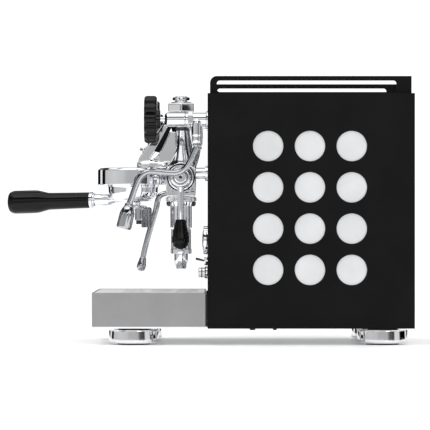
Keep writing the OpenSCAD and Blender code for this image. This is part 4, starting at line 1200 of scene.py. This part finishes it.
@dataclass
class Studio:
    """Camera, soft lights, surroundings that differ for reflections, and a pale floor.

    Attributes:
        eye: camera place in metres.
        lens: focal length in millimetres.
        sensor: width of the sensor in millimetres.
        shift: camera shift, in frame widths.
        surround: brightness of the white surroundings.
        floor_reach: the floor's low x, high x and half width.
        floor_glow: light that comes up through the floor, as from a light table.
        floor_gloss: roughness and plain reflection of the floor.
        aim_height: height of the point that the lights face, in metres.
        walls: grey of the surroundings by compass angle from +x, seen in mirrors near the horizon.
        upper_walls: the same, a little higher.
        ceiling: the same overhead, by the direction's z.
        upper_share: share of the upper walls, by the direction's z.
        ceiling_share: share of the ceiling, by the direction's z.
    """

    eye: tuple[float, float, float] = (4.357, 0.019, 0.165)
    lens: float = 268.7
    sensor: float = 36.0
    shift: tuple[float, float] = (-7 / 430, 5 / 430)
    surround: float = 1.1
    floor_reach: tuple[float, float, float] = (-1.2, 2.3, 0.75)
    floor_glow: float = 0.09
    floor_gloss: tuple[float, float] = (0.36, 0.08)
    aim_height: float = 0.18
    walls: Sequence[tuple[float, float]] = ((-180, 1.0), (-169, 1.0), (-166, 0.05), (-151, 0.0),
                                            (-135, 0.0), (-132, 0.9), (-121, 0.9), (-118, 0.0),
                                            (-104, 0.0), (-100, 0.60), (-62, 0.68), (-30, 0.60),
                                            (-18, 0.50), (18, 0.50), (30, 0.12), (50, 0.05), (56, 0.80),
                                            (78, 0.75), (84, 0.0), (118, 0.0), (122, 0.8), (134, 0.8),
                                            (138, 0.03), (166, 0.05), (169, 1.0), (180, 1.0))
    upper_walls: Sequence[tuple[float, float]] = ((-180, 0.1), (-150, 0.1), (-146, 0.5), (-128, 0.5),
                                                  (-124, 0.0), (-96, 0.0), (-90, 0.4), (-76, 0.4),
                                                  (-70, 0.1), (-48, 0.1), (-40, 1.1), (56, 1.1),
                                                  (64, 0.05), (84, 0.05), (90, 0.7), (112, 0.7),
                                                  (118, 0.0), (180, 0.1))
    ceiling: Sequence[tuple[float, float]] = ((-1.0, 0.3), (0.42, 0.25), (0.52, 0.02), (0.68, 0.02),
                                              (0.72, 1.1), (0.86, 1.2), (0.90, 0.06), (0.98, 0.06),
                                              (1.0, 0.3))
    upper_share: Sequence[tuple[float, float]] = ((-1.0, 0.0), (0.20, 0.0), (0.26, 1.0), (1.0, 1.0))
    ceiling_share: Sequence[tuple[float, float]] = ((-1.0, 0.0), (0.38, 0.0), (0.44, 1.0), (1.0, 1.0))

    def build(self) -> None:
        """Make the whole studio."""
        self.camera()
        self.world()
        self.floor()
        self.light("key_above", (0.5, -0.3, 2.6), (2.2, 2.2), 24.0)
        self.light("fill_camera_side", (3.4, 1.6, 1.5), (1.2, 1.2), 10.0)

    def camera(self) -> None:
        """Camera level with the eye, looking along -x."""
        data = bpy.data.cameras.new("camera")
        data.lens, data.sensor_width = self.lens, self.sensor
        data.shift_x, data.shift_y = self.shift
        data.clip_start, data.clip_end = 0.05, 60.0
        camera = bpy.data.objects.new("camera", data)
        camera.location = self.eye
        camera.rotation_euler = (math.pi / 2, 0.0, math.pi / 2)
        bpy.context.scene.collection.objects.link(camera)
        bpy.context.scene.camera = camera

    def world(self) -> None:
        """White surroundings; reflections see light and dark bands round the machine instead."""
        scene = bpy.context.scene
        world = bpy.data.worlds.new("studio_world")
        world.use_nodes = True
        tree = world.node_tree
        nodes, link = tree.nodes, tree.links.new
        plain = nodes["Background"]
        plain.inputs["Color"].default_value = (1.0, 1.0, 1.0, 1.0)
        plain.inputs["Strength"].default_value = self.surround
        place = nodes.new("ShaderNodeTexCoord")
        split = nodes.new("ShaderNodeSeparateXYZ")
        link(place.outputs["Generated"], split.inputs[0])
        turn = nodes.new("ShaderNodeMath")
        turn.operation = "ARCTAN2"
        link(split.outputs["Y"], turn.inputs[0])
        link(split.outputs["X"], turn.inputs[1])
        span = nodes.new("ShaderNodeMapRange")
        span.inputs["From Min"].default_value, span.inputs["From Max"].default_value = -math.pi, math.pi
        link(turn.outputs[0], span.inputs["Value"])
        rings = []
        for stops in (self.walls, self.upper_walls):
            rings.append(self.ramp(tree, [((angle + 180) / 360, value) for angle, value in stops]))
            link(span.outputs["Result"], rings[-1].inputs["Fac"])
        height = nodes.new("ShaderNodeMapRange")
        height.inputs["From Min"].default_value, height.inputs["From Max"].default_value = -1.0, 1.0
        link(split.outputs["Z"], height.inputs["Value"])
        over = self.ramp(tree, [((z + 1) / 2, value) for z, value in self.ceiling])
        link(height.outputs["Result"], over.inputs["Fac"])
        upper = self.blend(tree, height.outputs["Result"], self.upper_share, rings[0].outputs["Color"],
                           rings[1].outputs["Color"])
        whole = self.blend(tree, height.outputs["Result"], self.ceiling_share, upper,
                           over.outputs["Color"])
        mirrored = nodes.new("ShaderNodeBackground")
        link(whole, mirrored.inputs["Color"])
        path = nodes.new("ShaderNodeLightPath")
        choose = nodes.new("ShaderNodeMixShader")
        link(path.outputs["Is Glossy Ray"], choose.inputs[0])
        link(plain.outputs[0], choose.inputs[1])
        link(mirrored.outputs[0], choose.inputs[2])
        link(choose.outputs[0], nodes["World Output"].inputs["Surface"])
        scene.world = world
        scene.view_settings.view_transform = "Standard"

    def blend(self, tree: bpy.types.NodeTree, height: bpy.types.NodeSocket,
              stops: Sequence[tuple[float, float]], low: bpy.types.NodeSocket,
              high: bpy.types.NodeSocket) -> bpy.types.NodeSocket:
        """Return the colour that goes from one colour to another with height.

        Args:
            tree: the node tree.
            height: direction's z, from 0 at -1 to 1 at +1.
            stops: share of the higher colour at each z.
            low: the lower colour.
            high: the higher colour.

        Returns:
            The mixed colour.
        """
        share = self.ramp(tree, [((z + 1) / 2, value) for z, value in stops])
        tree.links.new(height, share.inputs["Fac"])
        mix = tree.nodes.new("ShaderNodeMix")
        mix.data_type = "RGBA"
        for socket, end in zip((share.outputs["Color"], low, high),
                               (mix.inputs[0], mix.inputs[6], mix.inputs[7])):
            tree.links.new(socket, end)
        return mix.outputs[2]

    @staticmethod
    def ramp(tree: bpy.types.NodeTree, stops: Sequence[tuple[float, float]]) -> bpy.types.Node:
        """Return a colour ramp of greys.

        Args:
            tree: the node tree it is made in.
            stops: position and grey of each stop, in order.

        Returns:
            The node.
        """
        node = tree.nodes.new("ShaderNodeValToRGB")
        marks = node.color_ramp.elements
        marks[0].position, marks[1].position = stops[0][0], stops[-1][0]
        for position, _ in stops[1:-1]:
            marks.new(position)
        for mark, (position, grey) in zip(marks, stops):
            mark.position, mark.color = position, (grey, grey, grey, 1.0)
        return node

    def floor(self) -> None:
        """Pale floor with a faint gloss."""
        mesh = bpy.data.meshes.new("studio_floor")
        x0, x1, y1 = self.floor_reach
        mesh.from_pydata([(x0, -y1, 0), (x1, -y1, 0), (x1, y1, 0), (x0, y1, 0)], [], [(0, 1, 2, 3)])
        floor = bpy.data.objects.new("studio_floor", mesh)
        made = bpy.data.materials.new("studio_floor")
        made.use_nodes = True
        shader = made.node_tree.nodes["Principled BSDF"]
        shader.inputs["Base Color"].default_value = (1.0, 1.0, 1.0, 1.0)
        shader.inputs["Roughness"].default_value = self.floor_gloss[0]
        shader.inputs["Specular IOR Level"].default_value = self.floor_gloss[1]
        shader.inputs["Emission Color"].default_value = (1.0, 1.0, 1.0, 1.0)
        shader.inputs["Emission Strength"].default_value = self.floor_glow
        mesh.materials.append(made)
        bpy.context.scene.collection.objects.link(floor)

    def light(self, name: str, place: Point, size: tuple[float, float], power: float) -> None:
        """Rectangular soft light aimed at the machine.

        Args:
            name: the light's name.
            place: its middle in metres.
            size: width and height in metres.
            power: in watts.
        """
        data = bpy.data.lights.new(name, "AREA")
        data.shape, data.size, data.size_y, data.energy = "RECTANGLE", size[0], size[1], power
        light = bpy.data.objects.new(name, data)
        light.location = place
        aim = np.array([0.0, 0.0, self.aim_height]) - np.asarray(place)
        matrix = aim_matrix(-aim)
        light.rotation_euler = Matrix(matrix.tolist()).to_euler()
        bpy.context.scene.collection.objects.link(light)


WATER_ROUTE = ((-14.6, -24), (-14.6, -33), (-14.6, -36), (-18.5, -44.5), (-24.3, -57.4), (-32, -66.8),
               (-41.6, -71), (-57, -70.7), (-74.8, -69.2), (-84.2, -72.1), (-91.4, -79.8), (-96.7, -91.8),
               (-101.4, -105.6), (-103.25, -110), (-104, -113))
STEAM_ROUTE = ((-14.6, -24), (-14.6, -33), (-14.6, -36), (-17, -48), (-23.5, -67), (-33, -83),
               (-45, -93.5), (-59.1, -96.6), (-66.4, -99.7), (-70.2, -106.5), (-72.7, -118.9),
               (-78.9, -139.9), (-83.8, -157.2), (-88.8, -177.1), (-90.8, -187.2))


def main() -> None:
    """Build the studio and every sub-assembly in order."""
    logging.basicConfig(level=logging.INFO, format="%(message)s")
    Studio().build()
    housing = Housing()
    housing.dress()
    housing.fastenings()
    housing.gap_shade_strips()
    Feet().build()
    BrewGroup().build()
    BrewLever().build()
    Portafilter().build()
    ValveSide(1, "water", WATER_ROUTE).build()
    ValveSide(-1, "steam", STEAM_ROUTE).build()
    FrontFittings().build()


if __name__ == "__main__":
    main()
